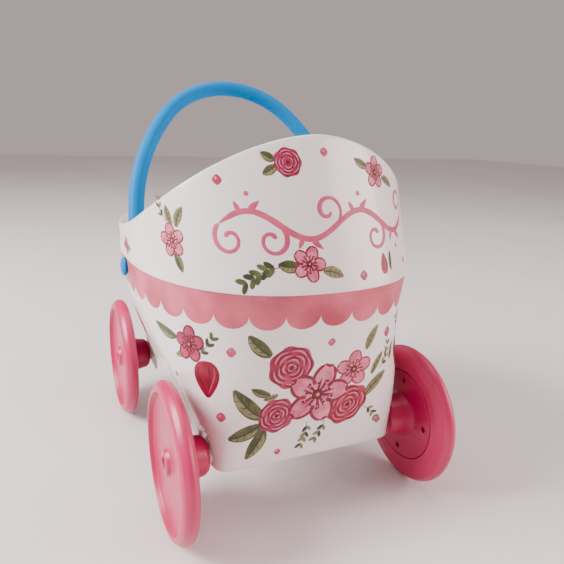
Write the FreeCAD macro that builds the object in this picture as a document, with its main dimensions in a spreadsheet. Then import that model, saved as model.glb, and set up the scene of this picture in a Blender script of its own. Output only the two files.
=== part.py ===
"""Doll stroller: a moulded tub and hood on four wheels, with an arched handle that swings.

Frame: +Z up, +Y towards the person who pushes, -Y the hood end, +X across.
The origin lies on the ground, midway between the two axles and the two sides.
"""
import FreeCAD
import Part
import math
import os

import Sketcher
from FreeCAD import Placement, Rotation, Vector

doc = FreeCAD.newDocument("doll_stroller")

# ---------------------------------------------------------------- driving dimensions, in mm

DIMENSIONS = {
    # wheels and axles
    "wheel_radius": 75,
    "wheel_width": 17,
    "wheel_track": 280,
    "wheelbase": 264,
    "axle_radius": 3,
    "bore_clearance": 0.05,
    "tread_wall": 3,
    "disc_radius": 49.5,
    "disc_gap": 0.3,
    "disc_thickness": 3,
    "boss_foot_radius": 21.5,
    "boss_end_radius": 18.5,
    "hub_radius": 7.5,
    "hub_recess_radius": 5.6,
    "screw_circle": 39,
    "screw_post_radius": 4.5,
    "screw_shank_radius": 1.5,
    "screw_head_radius": 2.8,
    "screw_well_radius": 3.1,
    "screw_well_depth": 5,
    "vent_radius": 1.5,
    "vent_height_degrees": 18,
    "washer_radius": 8,
    "washer_thickness": 1.2,
    "end_nut_radius": 5.2,
    # tub
    "tub_base": 65,
    "tub_base_half_width": 97.3,
    "tub_base_half_length": 154.9,
    "tub_base_squareness": 16,
    "lip_height": 239,
    "tub_top_half_width": 143.8,
    "tub_top_half_length": 183,
    "tub_top_squareness": 2.4,
    "tub_side_curve": 1.62,
    "tub_corner_fade": 3.5,
    "shell_wall": 2.6,
    "floor_height": 115,
    "arch_half_length": 97,
    "arch_rise": 42,
    "neck_rise": 12,
    "axle_boss_radius": 9.5,
    "axle_boss_end": 98,
    "axle_boss_length": 16,
    "wheel_relief_radius": 22.5,
    # hood
    "hood_half_width": 145.3,
    "hood_half_length": 185.6,
    "hood_squareness": 2.37,
    "hood_span": 130,
    "hood_side_flare": 3.7,
    "hood_end_lean": 43.2,
    "hood_softening": 0.5,
    "rim_peak": 369.3,
    "rim_low": 269,
    "rim_sweep_degrees": 105.7,
    # handle
    "pivot_height": 228,
    "pivot_setback": 5,
    "handle_tube_radius": 8.5,
    "handle_tube_wall": 2.2,
    "handle_half_width": 127.5,
    "handle_rise": 213.75,
    "handle_shoulder": 37.5,
    "handle_top_radius": 100,
    "handle_tail": 9,
    "handle_lean_degrees": 28,
    "pivot_boss_radius": 10.9,
    "pivot_boss_outer": 143.8,
    "pivot_boss_inner": 136.5,
    "pivot_shaft_radius": 5.5,
    "pivot_cap_radius": 10,
    "pivot_cap_height": 5.4,
    "pivot_gap": 0.3,
}

sheet = doc.addObject("Spreadsheet::Sheet", "dims")
for row, (alias, number) in enumerate(DIMENSIONS.items(), start=1):
    sheet.set("A%d" % row, alias)
    sheet.set("B%d" % row, str(number))
    sheet.setAlias("B%d" % row, alias)
doc.recompute()


class Size:
    """A length with both its value and the sheet expression that drives it."""

    def __init__(self, value, text):
        self.value = float(value)
        self.text = text

    def join(self, other, sign, value):
        text = other.text if isinstance(other, Size) else repr(float(other))
        return Size(value, "(%s %s %s)" % (self.text, sign, text))

    def __add__(self, other):
        return self.join(other, "+", self.value + number_of(other))

    def __sub__(self, other):
        return self.join(other, "-", self.value - number_of(other))

    def __mul__(self, other):
        return self.join(other, "*", self.value * number_of(other))

    def __truediv__(self, other):
        return self.join(other, "/", self.value / number_of(other))

    def __neg__(self):
        return Size(-self.value, "(-1 * %s)" % self.text)


def number_of(size):
    return size.value if isinstance(size, Size) else float(size)


def dim(alias):
    """The sheet's cell as a Size, for anything that is bound to it."""
    return Size(getattr(sheet, alias), "dims." + alias)


def mm(alias):
    """The sheet's cell as a plain number, for shapes that code works out."""
    return float(getattr(sheet, alias))


def bind(feature, property_name, size):
    """Give a property its value, and tie it to the sheet when the size comes from there."""
    if isinstance(size, Size):
        feature.setExpression(property_name, size.text)
    else:
        setattr(feature, property_name, size)


# ---------------------------------------------------------------- modelling helpers

sub_parts = []


def new_body(name):
    body = doc.addObject("PartDesign::Body", name)
    body.Label = name
    sub_parts.append(body)
    return body


def place(feature, x, y, z, rotation=Rotation()):
    """Put a finished sub-part in the frame; each coordinate may follow the sheet."""
    base = Vector(number_of(x), number_of(y), number_of(z))
    feature.Placement = Placement(base, rotation)
    for axis, size in (("x", x), ("y", y), ("z", z)):
        if isinstance(size, Size):
            feature.setExpression("Placement.Base." + axis, size.text)


def new_sketch(body, role, name):
    sketch = body.newObject("Sketcher::SketchObject", name)
    for plane in body.Origin.OriginFeatures:
        if plane.Role == role:
            sketch.AttachmentSupport = (plane, [""])
    sketch.MapMode = "FlatFace"
    return sketch


def pin_point(sketch, geometry, point, x, y):
    """Hold one point of a sketch at x, y from its origin."""
    if number_of(x) == 0:
        sketch.addConstraint(Sketcher.Constraint("PointOnObject", geometry, point, -2))
    else:
        index = sketch.addConstraint(Sketcher.Constraint("DistanceX", -1, 1, geometry, point, number_of(x)))
        bind_constraint(sketch, index, x)
    if number_of(y) == 0:
        sketch.addConstraint(Sketcher.Constraint("PointOnObject", geometry, point, -1))
    else:
        index = sketch.addConstraint(Sketcher.Constraint("DistanceY", -1, 1, geometry, point, number_of(y)))
        bind_constraint(sketch, index, y)


def bind_constraint(sketch, index, size):
    if isinstance(size, Size):
        sketch.setExpression("Constraints[%d]" % index, size.text)


def draw_outline(sketch, corners):
    """A closed outline of straight lines through the corners."""
    first = sketch.GeometryCount
    count = len(corners)
    ends = [Vector(number_of(x), number_of(y), 0) for x, y in corners]
    for i in range(count):
        sketch.addGeometry(Part.LineSegment(ends[i], ends[(i + 1) % count]), False)
    for i in range(count):
        following = first + (i + 1) % count
        sketch.addConstraint(Sketcher.Constraint("Coincident", first + i, 2, following, 1))
    for i, (x, y) in enumerate(corners):
        pin_point(sketch, first + i, 1, x, y)


def draw_circle(sketch, x, y, radius):
    centre = Vector(number_of(x), number_of(y), 0)
    circle = Part.Circle(centre, Vector(0, 0, 1), number_of(radius))
    index = sketch.addGeometry(circle, False)
    pin_point(sketch, index, 3, x, y)
    size = sketch.addConstraint(Sketcher.Constraint("Radius", index, number_of(radius)))
    bind_constraint(sketch, size, radius)


def revolve(body, name, corners):
    """Turn an outline drawn as (along X, radius) about the X axis."""
    sketch = new_sketch(body, "XY_Plane", name + "_outline")
    draw_outline(sketch, corners)
    turned = body.newObject("PartDesign::Revolution", name)
    turned.Profile = sketch
    turned.ReferenceAxis = (sketch, ["H_Axis"])
    turned.Angle = 360
    sketch.Visibility = False
    return turned


def pad_from_plane(body, name, role, x, y, radius, length):
    """A round bar that stands on one of the body's origin planes."""
    sketch = new_sketch(body, role, name + "_outline")
    draw_circle(sketch, x, y, radius)
    pad = body.newObject("PartDesign::Pad", name)
    pad.Profile = sketch
    bind(pad, "Length", length)
    return pad


def pocket_from_plane(body, name, y, radius, depth):
    """A round hole cut along +X from the body's YZ plane."""
    sketch = new_sketch(body, "YZ_Plane", name + "_outline")
    draw_circle(sketch, y, 0, radius)
    pocket = body.newObject("PartDesign::Pocket", name)
    pocket.Profile = sketch
    pocket.Reversed = True
    bind(pocket, "Length", depth)
    body.Tip = pocket
    return pocket


def lift_sketch(sketch, distance):
    """Move a sketch off its plane, and tie the distance to the sheet."""
    sketch.AttachmentOffset = Placement(Vector(0, 0, number_of(distance)), Rotation())
    if isinstance(distance, Size):
        sketch.setExpression("AttachmentOffset.Base.z", distance.text)


def round_turns(body, feature, name, count):
    """Repeat a feature about the body's X axis."""
    pattern = body.newObject("PartDesign::PolarPattern", name)
    pattern.Originals = [feature]
    for axis in body.Origin.OriginFeatures:
        if axis.Role == "X_Axis":
            pattern.Axis = (axis, [""])
    pattern.Angle = 360
    pattern.Occurrences = count
    body.Tip = pattern
    return pattern


SIDES = (("left", -1), ("right", 1))
ENDS = (("front", -1), ("rear", 1))
outward = {-1: Rotation(Vector(0, 0, 1), 180), 1: Rotation()}


# ---------------------------------------------------------------- wheels
# A wheel is drawn on the right-hand side: X = 0 is its inner face, +X points away from the tub.

width = dim("wheel_width")
bore = dim("axle_radius") + dim("bore_clearance")
hub = dim("hub_radius")
disc_seat = dim("disc_radius") + dim("disc_gap")
rim = dim("wheel_radius")
END_PLAY = 0.5
boss_length = dim("wheel_track") / 2 - width - dim("axle_boss_end") - dim("washer_thickness") - END_PLAY
SHOULDER = 5.0
SHOULDER_TAKEN = 0.3
LIP_EDGE = 0.87
DISH_EDGE = 0.82
DISH_FOOT = 0.70
DISH_LIP = 0.8
DISH_DEPTH = 5.0
WEB = 2.6
WEB_RIM = 0.80
WEB_RIM_RISE = 2.4
INNER_ROUND = 2.5
HUB_FOOT = 2.1
HUB_NECK = 1.25
HUB_NECK_RISE = 1.5
HUB_STANDOFF = 1.0
NUT_RECESS = 4.0
SCREW_COUNT = 4
WELL_FLOOR = 1.6
POST_GAP = 0.3
POST_ROOT = 0.5
PILOT_IN_WEB = 1.4
BOSS_WALL = 2.5
BOSS_CHAMFER = 3.0
BOSS_FLARE = 2.0
BOSS_FLOOR = 3.0
SLEEVE_SHORT = 0.2
HEAD_HEIGHT = 1.5
HEAD_ROUND = 0.6
SHANK_LENGTH = 4.6
POINT_LENGTH = 0.8


def wheel_shell(name):
    """Tread, rim lip, dished web and hub sleeve in one moulding, open towards the tub."""
    body = new_body(name)
    web_face = width - DISH_DEPTH
    web_back = web_face - WEB
    hub_end = width - HUB_STANDOFF
    inside = rim - dim("tread_wall")
    skin = dim("disc_thickness")
    cut = SHOULDER * SHOULDER_TAKEN
    revolve(body, name + "_turned", [
        (0, disc_seat),
        (0, rim - SHOULDER),
        (cut, rim - cut),
        (SHOULDER, rim),
        (width - SHOULDER, rim),
        (width - cut, rim - cut),
        (width, rim - SHOULDER),
        (width, rim * LIP_EDGE),
        (web_face + DISH_LIP, rim * DISH_EDGE),
        (web_face, rim * DISH_FOOT),
        (web_face, hub * HUB_FOOT),
        (web_face + HUB_NECK_RISE, hub * HUB_NECK),
        (hub_end, hub),
        (hub_end, dim("hub_recess_radius")),
        (hub_end - NUT_RECESS, dim("hub_recess_radius")),
        (hub_end - NUT_RECESS, bore),
        (skin, bore),
        (skin, hub),
        (web_back, hub),
        (web_back, rim * WEB_RIM),
        (web_back + WEB_RIM_RISE, rim * (WEB_RIM + LIP_EDGE - DISH_EDGE)),
        (width - dim("tread_wall"), inside - INNER_ROUND),
        (width - SHOULDER, inside),
        (SHOULDER, inside),
        (skin, inside - INNER_ROUND),
        (skin, disc_seat),
    ])
    doc.recompute()
    foot = dim("screw_well_depth") + WELL_FLOOR + POST_GAP
    post = pad_from_plane(body, name + "_post", "YZ_Plane", dim("screw_circle"), 0,
                          dim("screw_post_radius"), web_back - foot + POST_ROOT)
    lift_sketch(post.Profile[0], foot)
    round_turns(body, post, name + "_posts", SCREW_COUNT)
    doc.recompute()
    pilot = pocket_from_plane(body, name + "_pilot", dim("screw_circle"), dim("screw_shank_radius"),
                              web_back + PILOT_IN_WEB - foot)
    lift_sketch(pilot.Profile[0], foot)
    round_turns(body, pilot, name + "_pilots", SCREW_COUNT)
    doc.recompute()
    vent = new_sketch(body, "XY_Plane", name + "_vent_outline")
    outwards = Rotation(Vector(1, 0, 0), mm("vent_height_degrees") - 90)
    vent.AttachmentOffset = Placement(outwards.multVec(Vector(0, 0, mm("wheel_radius") * 0.85)), outwards)
    draw_circle(vent, width / 2, 0, dim("vent_radius"))
    hole = body.newObject("PartDesign::Pocket", name + "_vent")
    hole.Profile = vent
    hole.Type = "ThroughAll"
    hole.Reversed = True
    body.Tip = hole
    return body


def wheel_disc(name):
    """Inner plate with the hollow conical boss that keeps the wheel off the tub."""
    body = new_body(name)
    skin = dim("disc_thickness")
    foot = dim("boss_foot_radius")
    end = dim("boss_end_radius")
    revolve(body, name + "_turned", [
        (-boss_length, bore),
        (-boss_length, end - BOSS_CHAMFER),
        (-boss_length + BOSS_CHAMFER, end),
        (-BOSS_CHAMFER, foot),
        (0, foot + BOSS_FLARE),
        (0, dim("disc_radius")),
        (skin, dim("disc_radius")),
        (skin, foot - BOSS_WALL + BOSS_FLARE),
        (0, foot - BOSS_WALL),
        (-boss_length + BOSS_FLOOR + BOSS_FLARE, end - BOSS_WALL),
        (-boss_length + BOSS_FLOOR, end - BOSS_WALL * 2),
        (-boss_length + BOSS_FLOOR, hub),
        (skin - SLEEVE_SHORT, hub),
        (skin - SLEEVE_SHORT, bore),
    ])
    doc.recompute()
    depth = dim("screw_well_depth")
    cup = pad_from_plane(body, name + "_cup", "YZ_Plane", dim("screw_circle"), 0,
                         dim("screw_post_radius"), depth + WELL_FLOOR)
    round_turns(body, cup, name + "_cups", SCREW_COUNT)
    doc.recompute()
    well = pocket_from_plane(body, name + "_well", dim("screw_circle"), dim("screw_well_radius"), depth)
    round_turns(body, well, name + "_wells", SCREW_COUNT)
    doc.recompute()
    hole = pocket_from_plane(body, name + "_hole", dim("screw_circle"), dim("screw_shank_radius"),
                             depth + WELL_FLOOR * 2)
    round_turns(body, hole, name + "_holes", SCREW_COUNT)
    return body


def wheel_screws(name):
    """Four small screws with their heads at the bottom of the disc's wells."""
    body = new_body(name)
    sketch = new_sketch(body, "XY_Plane", name + "_outline")
    shank = dim("screw_shank_radius")
    head = dim("screw_head_radius")
    axis = dim("screw_circle")
    seat = dim("screw_well_depth")
    draw_outline(sketch, [
        (seat - HEAD_HEIGHT, axis),
        (seat - HEAD_HEIGHT, axis + head - HEAD_ROUND),
        (seat - HEAD_HEIGHT + HEAD_ROUND, axis + head),
        (seat, axis + head),
        (seat, axis + shank),
        (seat + SHANK_LENGTH, axis + shank),
        (seat + SHANK_LENGTH + POINT_LENGTH, axis),
    ])
    centre = [Vector(x, mm("screw_circle"), 0) for x in (-SHANK_LENGTH, SHANK_LENGTH * 2)]
    line = sketch.addGeometry(Part.LineSegment(*centre), True)
    sketch.addConstraint(Sketcher.Constraint("Horizontal", line))
    pin_point(sketch, line, 1, -SHANK_LENGTH, axis)
    screw = body.newObject("PartDesign::Revolution", name + "_turned")
    screw.Profile = sketch
    screw.ReferenceAxis = (sketch, ["Axis0"])
    screw.Angle = 360
    round_turns(body, screw, name + "_four", SCREW_COUNT)
    return body


for end_name, end in ENDS:
    for side_name, side in SIDES:
        corner = "%s_%s" % (end_name, side_name)
        pieces = [
            wheel_shell("wheel_shell_" + corner),
            wheel_disc("wheel_disc_" + corner),
            wheel_screws("wheel_screws_" + corner),
        ]
        for piece in pieces:
            place(piece, (dim("wheel_track") / 2 - width) * side, dim("wheelbase") / 2 * end,
                  dim("wheel_radius"), outward[side])


# ---------------------------------------------------------------- axles, washers and end nuts

AXLE_SHORT_OF_FACE = 3.0
NUT_SEAT = 0.2
NUT_FLANGE = 1.0
NUT_SHEET = 1.4
NUT_DOME = 0.9


def axle(name, end):
    """Plain steel rod through the tub, with a wheel on each end."""
    body = new_body(name)
    half = dim("wheel_track") / 2 - AXLE_SHORT_OF_FACE
    rod = pad_from_plane(body, name + "_rod", "YZ_Plane", 0, 0, dim("axle_radius"), half * 2)
    rod.Midplane = True
    place(body, 0, dim("wheelbase") / 2 * end, dim("wheel_radius"))


def axle_washer(name, end, side):
    """Thrust washer between the wheel's boss and the tub."""
    body = new_body(name)
    thickness = dim("washer_thickness")
    revolve(body, name + "_turned", [
        (0, dim("axle_radius")),
        (0, dim("washer_radius")),
        (thickness, dim("washer_radius")),
        (thickness, dim("axle_radius")),
    ])
    place(body, dim("axle_boss_end") * side, dim("wheelbase") / 2 * end, dim("wheel_radius"),
          outward[side])


def end_nut(name, end, side):
    """Domed push-on nut that keeps the wheel on; it sits in the hub's recess."""
    body = new_body(name)
    rod = dim("axle_radius")
    rod_end = NUT_RECESS + HUB_STANDOFF - AXLE_SHORT_OF_FACE
    revolve(body, name + "_turned", [
        (NUT_SEAT, rod),
        (NUT_SEAT, dim("end_nut_radius")),
        (NUT_SEAT + NUT_FLANGE, dim("end_nut_radius")),
        (NUT_SHEET + NUT_SEAT, rod + NUT_SHEET),
        (rod_end + NUT_DOME / 2, rod + NUT_DOME),
        (rod_end + NUT_SHEET - NUT_SEAT, rod - NUT_DOME),
        (rod_end + NUT_SHEET, 0),
        (rod_end, 0),
        (rod_end, rod),
    ])
    recess_floor = dim("wheel_track") / 2 - HUB_STANDOFF - NUT_RECESS
    place(body, recess_floor * side, dim("wheelbase") / 2 * end, dim("wheel_radius"), outward[side])


for end_name, end in ENDS:
    axle(end_name + "_axle", end)
    for side_name, side in SIDES:
        axle_washer("axle_washer_%s_%s" % (end_name, side_name), end, side)
        end_nut("end_nut_%s_%s" % (end_name, side_name), end, side)


# ---------------------------------------------------------------- handle
# Drawn upright about its pivot: an arch of three arcs in the XZ plane, then leaned back.

CAP_CHAMFER = 0.6
CAP_SIDE = 0.55
CAP_SHOULDER = 0.85
CAP_ROUND = 1.2
CAP_FLAT = 3.5
PIVOT_SHANK_RADIUS = 1.6
PIVOT_SHANK_LENGTH = 15.0
PIVOT_HEAD_RADIUS = 4.0
PIVOT_HEAD_FLAT = 2.4
PIVOT_HEAD_HEIGHT = 2.6
PIVOT_HEAD_ROUND = 1.0
PIVOT_HOLE_DEPTH = 14.0
PIVOT_HEAD_SINK = 3.7


def handle_arcs(shift):
    """End points and middle points of the right half of the arch, from its top down."""
    half = mm("handle_half_width")
    top = mm("handle_rise")
    shoulder = mm("handle_shoulder")
    crown = mm("handle_top_radius")
    rise = top - shoulder - crown
    flank = (half ** 2 + rise ** 2 - crown ** 2) / (2 * (half - crown))
    turn = math.atan2(flank - half, rise)
    crown_centre = Vector(0, top - crown, 0)
    flank_centre = Vector(half - flank, shoulder, 0)
    low = -math.asin((shoulder + shift) / flank)
    join = math.pi / 2 - turn

    def on_crown(angle):
        return crown_centre + Vector(math.cos(angle), math.sin(angle), 0) * crown

    def on_flank(angle):
        return flank_centre + Vector(math.cos(angle), math.sin(angle), 0) * flank

    crown_arc = (on_crown(math.pi / 2), on_crown((math.pi / 2 + join) / 2), on_crown(join))
    flank_arc = (on_crown(join), on_flank((join + low) / 2), on_flank(low))
    return crown_arc, flank_arc


def draw_arch_half(sketch, arcs):
    for start, middle, finish in arcs:
        sketch.addGeometry(Part.Arc(start, middle, finish), False)
    for index in range(sketch.GeometryCount):
        sketch.addConstraint(Sketcher.Constraint("Block", index))


def arch_pipe(body, name, kind, radius, shift):
    """Sweep a round section down one half of the arch."""
    path = new_sketch(body, "XZ_Plane", name + "_path")
    draw_arch_half(path, handle_arcs(shift))
    section = new_sketch(body, "YZ_Plane", name + "_section")
    draw_circle(section, 0, dim("handle_rise"), radius)
    doc.recompute()
    pipe = body.newObject(kind, name)
    pipe.Profile = section
    pipe.Spine = (path, ["Edge1", "Edge2"])
    pipe.Mode = "Frenet"
    path.Visibility = False
    section.Visibility = False
    doc.recompute()
    return pipe


def mirror_across(body, features, name):
    mirrored = body.newObject("PartDesign::Mirrored", name)
    mirrored.Originals = features
    for plane in body.Origin.OriginFeatures:
        if plane.Role == "YZ_Plane":
            mirrored.MirrorPlane = (plane, [""])
    body.Tip = mirrored
    doc.recompute()
    return mirrored


def handle():
    """Moulded arch, hollow above the pivots, with a cross hole at each end for its pivot plug."""
    body = new_body("handle")
    tube = arch_pipe(body, "handle_tube", "PartDesign::AdditivePipe", dim("handle_tube_radius"),
                     mm("handle_tail"))
    mirror_across(body, [tube], "handle_tube_pair")
    hollow = dim("handle_tube_radius") - dim("handle_tube_wall")
    core = arch_pipe(body, "handle_core", "PartDesign::SubtractivePipe", hollow, -mm("handle_tail") * 1.5)
    mirror_across(body, [core], "handle_core_pair")
    cross = new_sketch(body, "YZ_Plane", "handle_cross_outline")
    draw_circle(cross, 0, 0, dim("pivot_shaft_radius"))
    hole = body.newObject("PartDesign::Pocket", "handle_cross_hole")
    hole.Profile = cross
    hole.Type = "ThroughAll"
    hole.Midplane = True
    body.Tip = hole
    doc.recompute()
    return body


def pivot_plug(name):
    """Domed cap outside the tub's side, with the shaft that goes through into the handle."""
    body = new_body(name)
    face = dim("pivot_boss_outer") + dim("pivot_gap")
    cap = dim("pivot_cap_radius")
    height = dim("pivot_cap_height")
    shaft = dim("pivot_shaft_radius")
    tip = dim("handle_half_width") - dim("handle_tube_radius")
    revolve(body, name + "_turned", [
        (tip, PIVOT_SHANK_RADIUS),
        (tip, shaft),
        (face, shaft),
        (face, cap - CAP_CHAMFER),
        (face + CAP_CHAMFER, cap),
        (face + height * CAP_SIDE, cap),
        (face + height * CAP_SHOULDER, cap - CAP_ROUND),
        (face + height, cap - CAP_FLAT),
        (face + height, 0),
        (tip + PIVOT_HOLE_DEPTH, 0),
        (tip + PIVOT_HOLE_DEPTH, PIVOT_SHANK_RADIUS),
    ])
    return body


def pivot_screw(name):
    """Screw driven from inside the cabin, up the pivot plug's shaft."""
    body = new_body(name)
    seat = dim("handle_half_width") - dim("handle_tube_radius") - PIVOT_HEAD_SINK
    revolve(body, name + "_turned", [
        (seat - PIVOT_HEAD_HEIGHT, 0),
        (seat - PIVOT_HEAD_HEIGHT, PIVOT_HEAD_FLAT),
        (seat - PIVOT_HEAD_HEIGHT + PIVOT_HEAD_ROUND, PIVOT_HEAD_RADIUS),
        (seat, PIVOT_HEAD_RADIUS),
        (seat, PIVOT_SHANK_RADIUS),
        (seat + PIVOT_SHANK_LENGTH, PIVOT_SHANK_RADIUS),
        (seat + PIVOT_SHANK_LENGTH + PIVOT_HEAD_ROUND, 0),
    ])
    return body


lean = Rotation(Vector(1, 0, 0), -mm("handle_lean_degrees"))
place(handle(), 0, dim("pivot_setback"), dim("pivot_height"), lean)
for side_name, side in SIDES:
    for piece in (pivot_plug("pivot_plug_" + side_name), pivot_screw("pivot_screw_" + side_name)):
        place(piece, 0, dim("pivot_setback"), dim("pivot_height"), outward[side])


# ---------------------------------------------------------------- tub and hood
# Both are shells whose level sections are rounded rectangles of the form |x/a|^n + |y/b|^n = 1.

QUARTER_STEPS = 14
QUARTER_SAMPLES = 360
WALL_STEPS = 8
WALL_SPARE = 13.0
REACH = 260.0
NECK_FIT = 0.2
NECK_FOOT = 5.0
SCREW_SPACING = 60
SCREW_SINK = 0.6
SCREW_BITE = 0.7
HEAD_THICKNESS = 2.0
HEAD_FILLET = 0.8
DRILL_REACH = 10.0
RIM_STEPS = 8


def blend(low, high, share):
    return low + (high - low) * share


def quarter_points(half_width, half_length, squareness, z):
    """One quarter of a level section; its points crowd together where it turns."""
    fine = []
    for step in range(QUARTER_SAMPLES + 1):
        angle = math.pi / 2 * step / QUARTER_SAMPLES
        across = math.cos(angle) / half_width
        along = math.sin(angle) / half_length
        reach = (across ** squareness + along ** squareness) ** (-1 / squareness)
        fine.append(Vector(reach * math.cos(angle), reach * math.sin(angle), z))
    chords = [after - before for before, after in zip(fine, fine[1:])]
    whole = sum(chord.Length for chord in chords)
    heading = Vector(0, 1, 0)
    travel = [0.0]
    for chord in chords:
        turn = heading.getAngle(chord) / (math.pi / 2)
        travel.append(travel[-1] + chord.Length / whole + turn)
        heading = chord
    points = []
    for step in range(QUARTER_STEPS + 1):
        goal = travel[-1] * step / QUARTER_STEPS
        points.append(min(zip(travel, fine), key=lambda pair: abs(pair[0] - goal))[1])
    return points


def section_wire(half_width, half_length, squareness, z):
    """One level section: four equal smooth quarters that meet square to the axes."""
    quarter = quarter_points(half_width, half_length, squareness, z)
    knots = [step / QUARTER_STEPS for step in range(QUARTER_STEPS + 1)]
    edges = []
    for x_sign, y_sign in ((1, 1), (-1, 1), (-1, -1), (1, -1)):
        points = [Vector(point.x * x_sign, point.y * y_sign, z) for point in quarter]
        start_speed = points[0].distanceToPoint(points[1]) * QUARTER_STEPS
        end_speed = points[-2].distanceToPoint(points[-1]) * QUARTER_STEPS
        tangents = [Vector(0, y_sign * start_speed, 0), Vector(-x_sign * end_speed, 0, 0)]
        if x_sign * y_sign < 0:
            points.reverse()
            tangents = [-tangents[1], -tangents[0]]
        curve = Part.BSplineCurve()
        curve.interpolate(Points=points, Parameters=knots, Scale=False,
                          InitialTangent=tangents[0], FinalTangent=tangents[1])
        edges.append(curve.toShape())
    return Part.Wire(edges)


def tub_section(z, inset=0.0):
    """The sides flare in a curve, the ends lean straight, and the corners soften upwards."""
    share = (z - mm("tub_base")) / (mm("lip_height") - mm("tub_base"))
    flare = math.sin(math.pi / 2 * max(share, 0)) ** mm("tub_side_curve")
    crisp = max(1 - share, 0) ** mm("tub_corner_fade")
    return section_wire(
        blend(mm("tub_base_half_width"), mm("tub_top_half_width"), flare) - inset,
        blend(mm("tub_base_half_length"), mm("tub_top_half_length"), share) - inset,
        blend(mm("tub_top_squareness"), mm("tub_base_squareness"), crisp), z)


def hood_size(z, inset=0.0):
    """Half width, half length and squareness of the hood at one height."""
    share = (z - mm("lip_height")) / mm("hood_span")
    return (mm("hood_half_width") + mm("hood_side_flare") * share - inset,
            mm("hood_half_length") - mm("hood_end_lean") * share - inset,
            mm("hood_squareness") - mm("hood_softening") * share)


def hood_section(z, inset=0.0):
    return section_wire(*hood_size(z, inset), z)


def neck_section(z, inset=0.0):
    """The tub's neck, which stands inside the hood's lower edge."""
    return hood_section(z, mm("shell_wall") + NECK_FIT + inset)


def loft(wires):
    return Part.makeLoft(wires, True, False)


def bar_across(y, z, radius, inner, outer):
    """A cylinder along X from inner to outer."""
    return Part.makeCylinder(radius, outer - inner, Vector(inner, y, z), Vector(1, 0, 0))


def hood_screw_places():
    """Where each screw meets the hood's inner face, and its outward direction."""
    level = mm("lip_height") + mm("neck_rise") / 2
    across, along, power = hood_size(level, mm("shell_wall"))
    places = []
    for degrees in range(0, 360, SCREW_SPACING):
        angle = math.radians(degrees + 90)
        wide = abs(math.cos(angle)) / across
        long = abs(math.sin(angle)) / along
        reach = (wide ** power + long ** power) ** (-1 / power)
        point = Vector(reach * math.cos(angle), reach * math.sin(angle), level)
        slope = Vector(math.copysign(wide ** (power - 1) / across, point.x),
                       math.copysign(long ** (power - 1) / along, point.y), 0).normalize()
        flare = mm("hood_side_flare") * abs(point.x) / across * abs(slope.x)
        lean = mm("hood_end_lean") * abs(point.y) / along * abs(slope.y)
        slope.z = (lean - flare) / mm("hood_span")
        places.append((point, slope.normalize()))
    return places


def screw_shape(point, direction):
    """Pan head inside the neck, shank out through it and into the hood's wall."""
    wall = mm("shell_wall")
    head_seat = point - direction * (wall + SCREW_SINK)
    head_top = head_seat - direction * HEAD_THICKNESS
    length = wall + SCREW_SINK + wall * SCREW_BITE
    shank = Part.makeCylinder(mm("screw_shank_radius"), length, head_seat, direction)
    head = Part.makeCylinder(mm("screw_head_radius"), HEAD_THICKNESS, head_top, direction)
    outer_edges = [edge for edge in head.Edges if edge.Closed and
                   edge.CenterOfMass.distanceToPoint(head_top) < HEAD_THICKNESS / 2]
    return head.makeFillet(HEAD_FILLET, outer_edges).fuse(shank)


def slab(low, high):
    """Everything between two heights."""
    return Part.makeBox(2 * REACH, 2 * REACH, high - low, Vector(-REACH, -REACH, low))


def walls(section, low, high):
    """Outer and inner loft through the same levels, so the wall keeps its thickness."""
    low = low - WALL_SPARE
    high = high + WALL_SPARE
    levels = [blend(low, high, step / WALL_STEPS) for step in range(WALL_STEPS + 1)]
    outer = loft([section(z) for z in levels])
    inner = loft([section(z, mm("shell_wall")) for z in levels])
    return outer, inner


def tub_bars(y, z, radius, inner, outer):
    """The same bar on both sides of the tub."""
    return [bar_across(y, z, radius, *sorted((inner * side, outer * side))) for _, side in SIDES]


def at_axles(radius, inner, outer):
    """The same bar at all four wheels."""
    setback = mm("wheelbase") / 2
    height = mm("wheel_radius")
    return tub_bars(-setback, height, radius, inner, outer) + tub_bars(setback, height, radius, inner, outer)


def side_arch():
    """The oval that is cut out of both sides between the wheels."""
    oval = Part.Ellipse(Vector(0, 0, 0), mm("arch_half_length"), mm("arch_rise"))
    face = Part.Face(Part.Wire([oval.toShape()]))
    face.Placement = Placement(Vector(-REACH, 0, mm("tub_base")), Rotation(Vector(1, 1, 1), 120))
    return face.extrude(Vector(2 * REACH, 0, 0))


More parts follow.
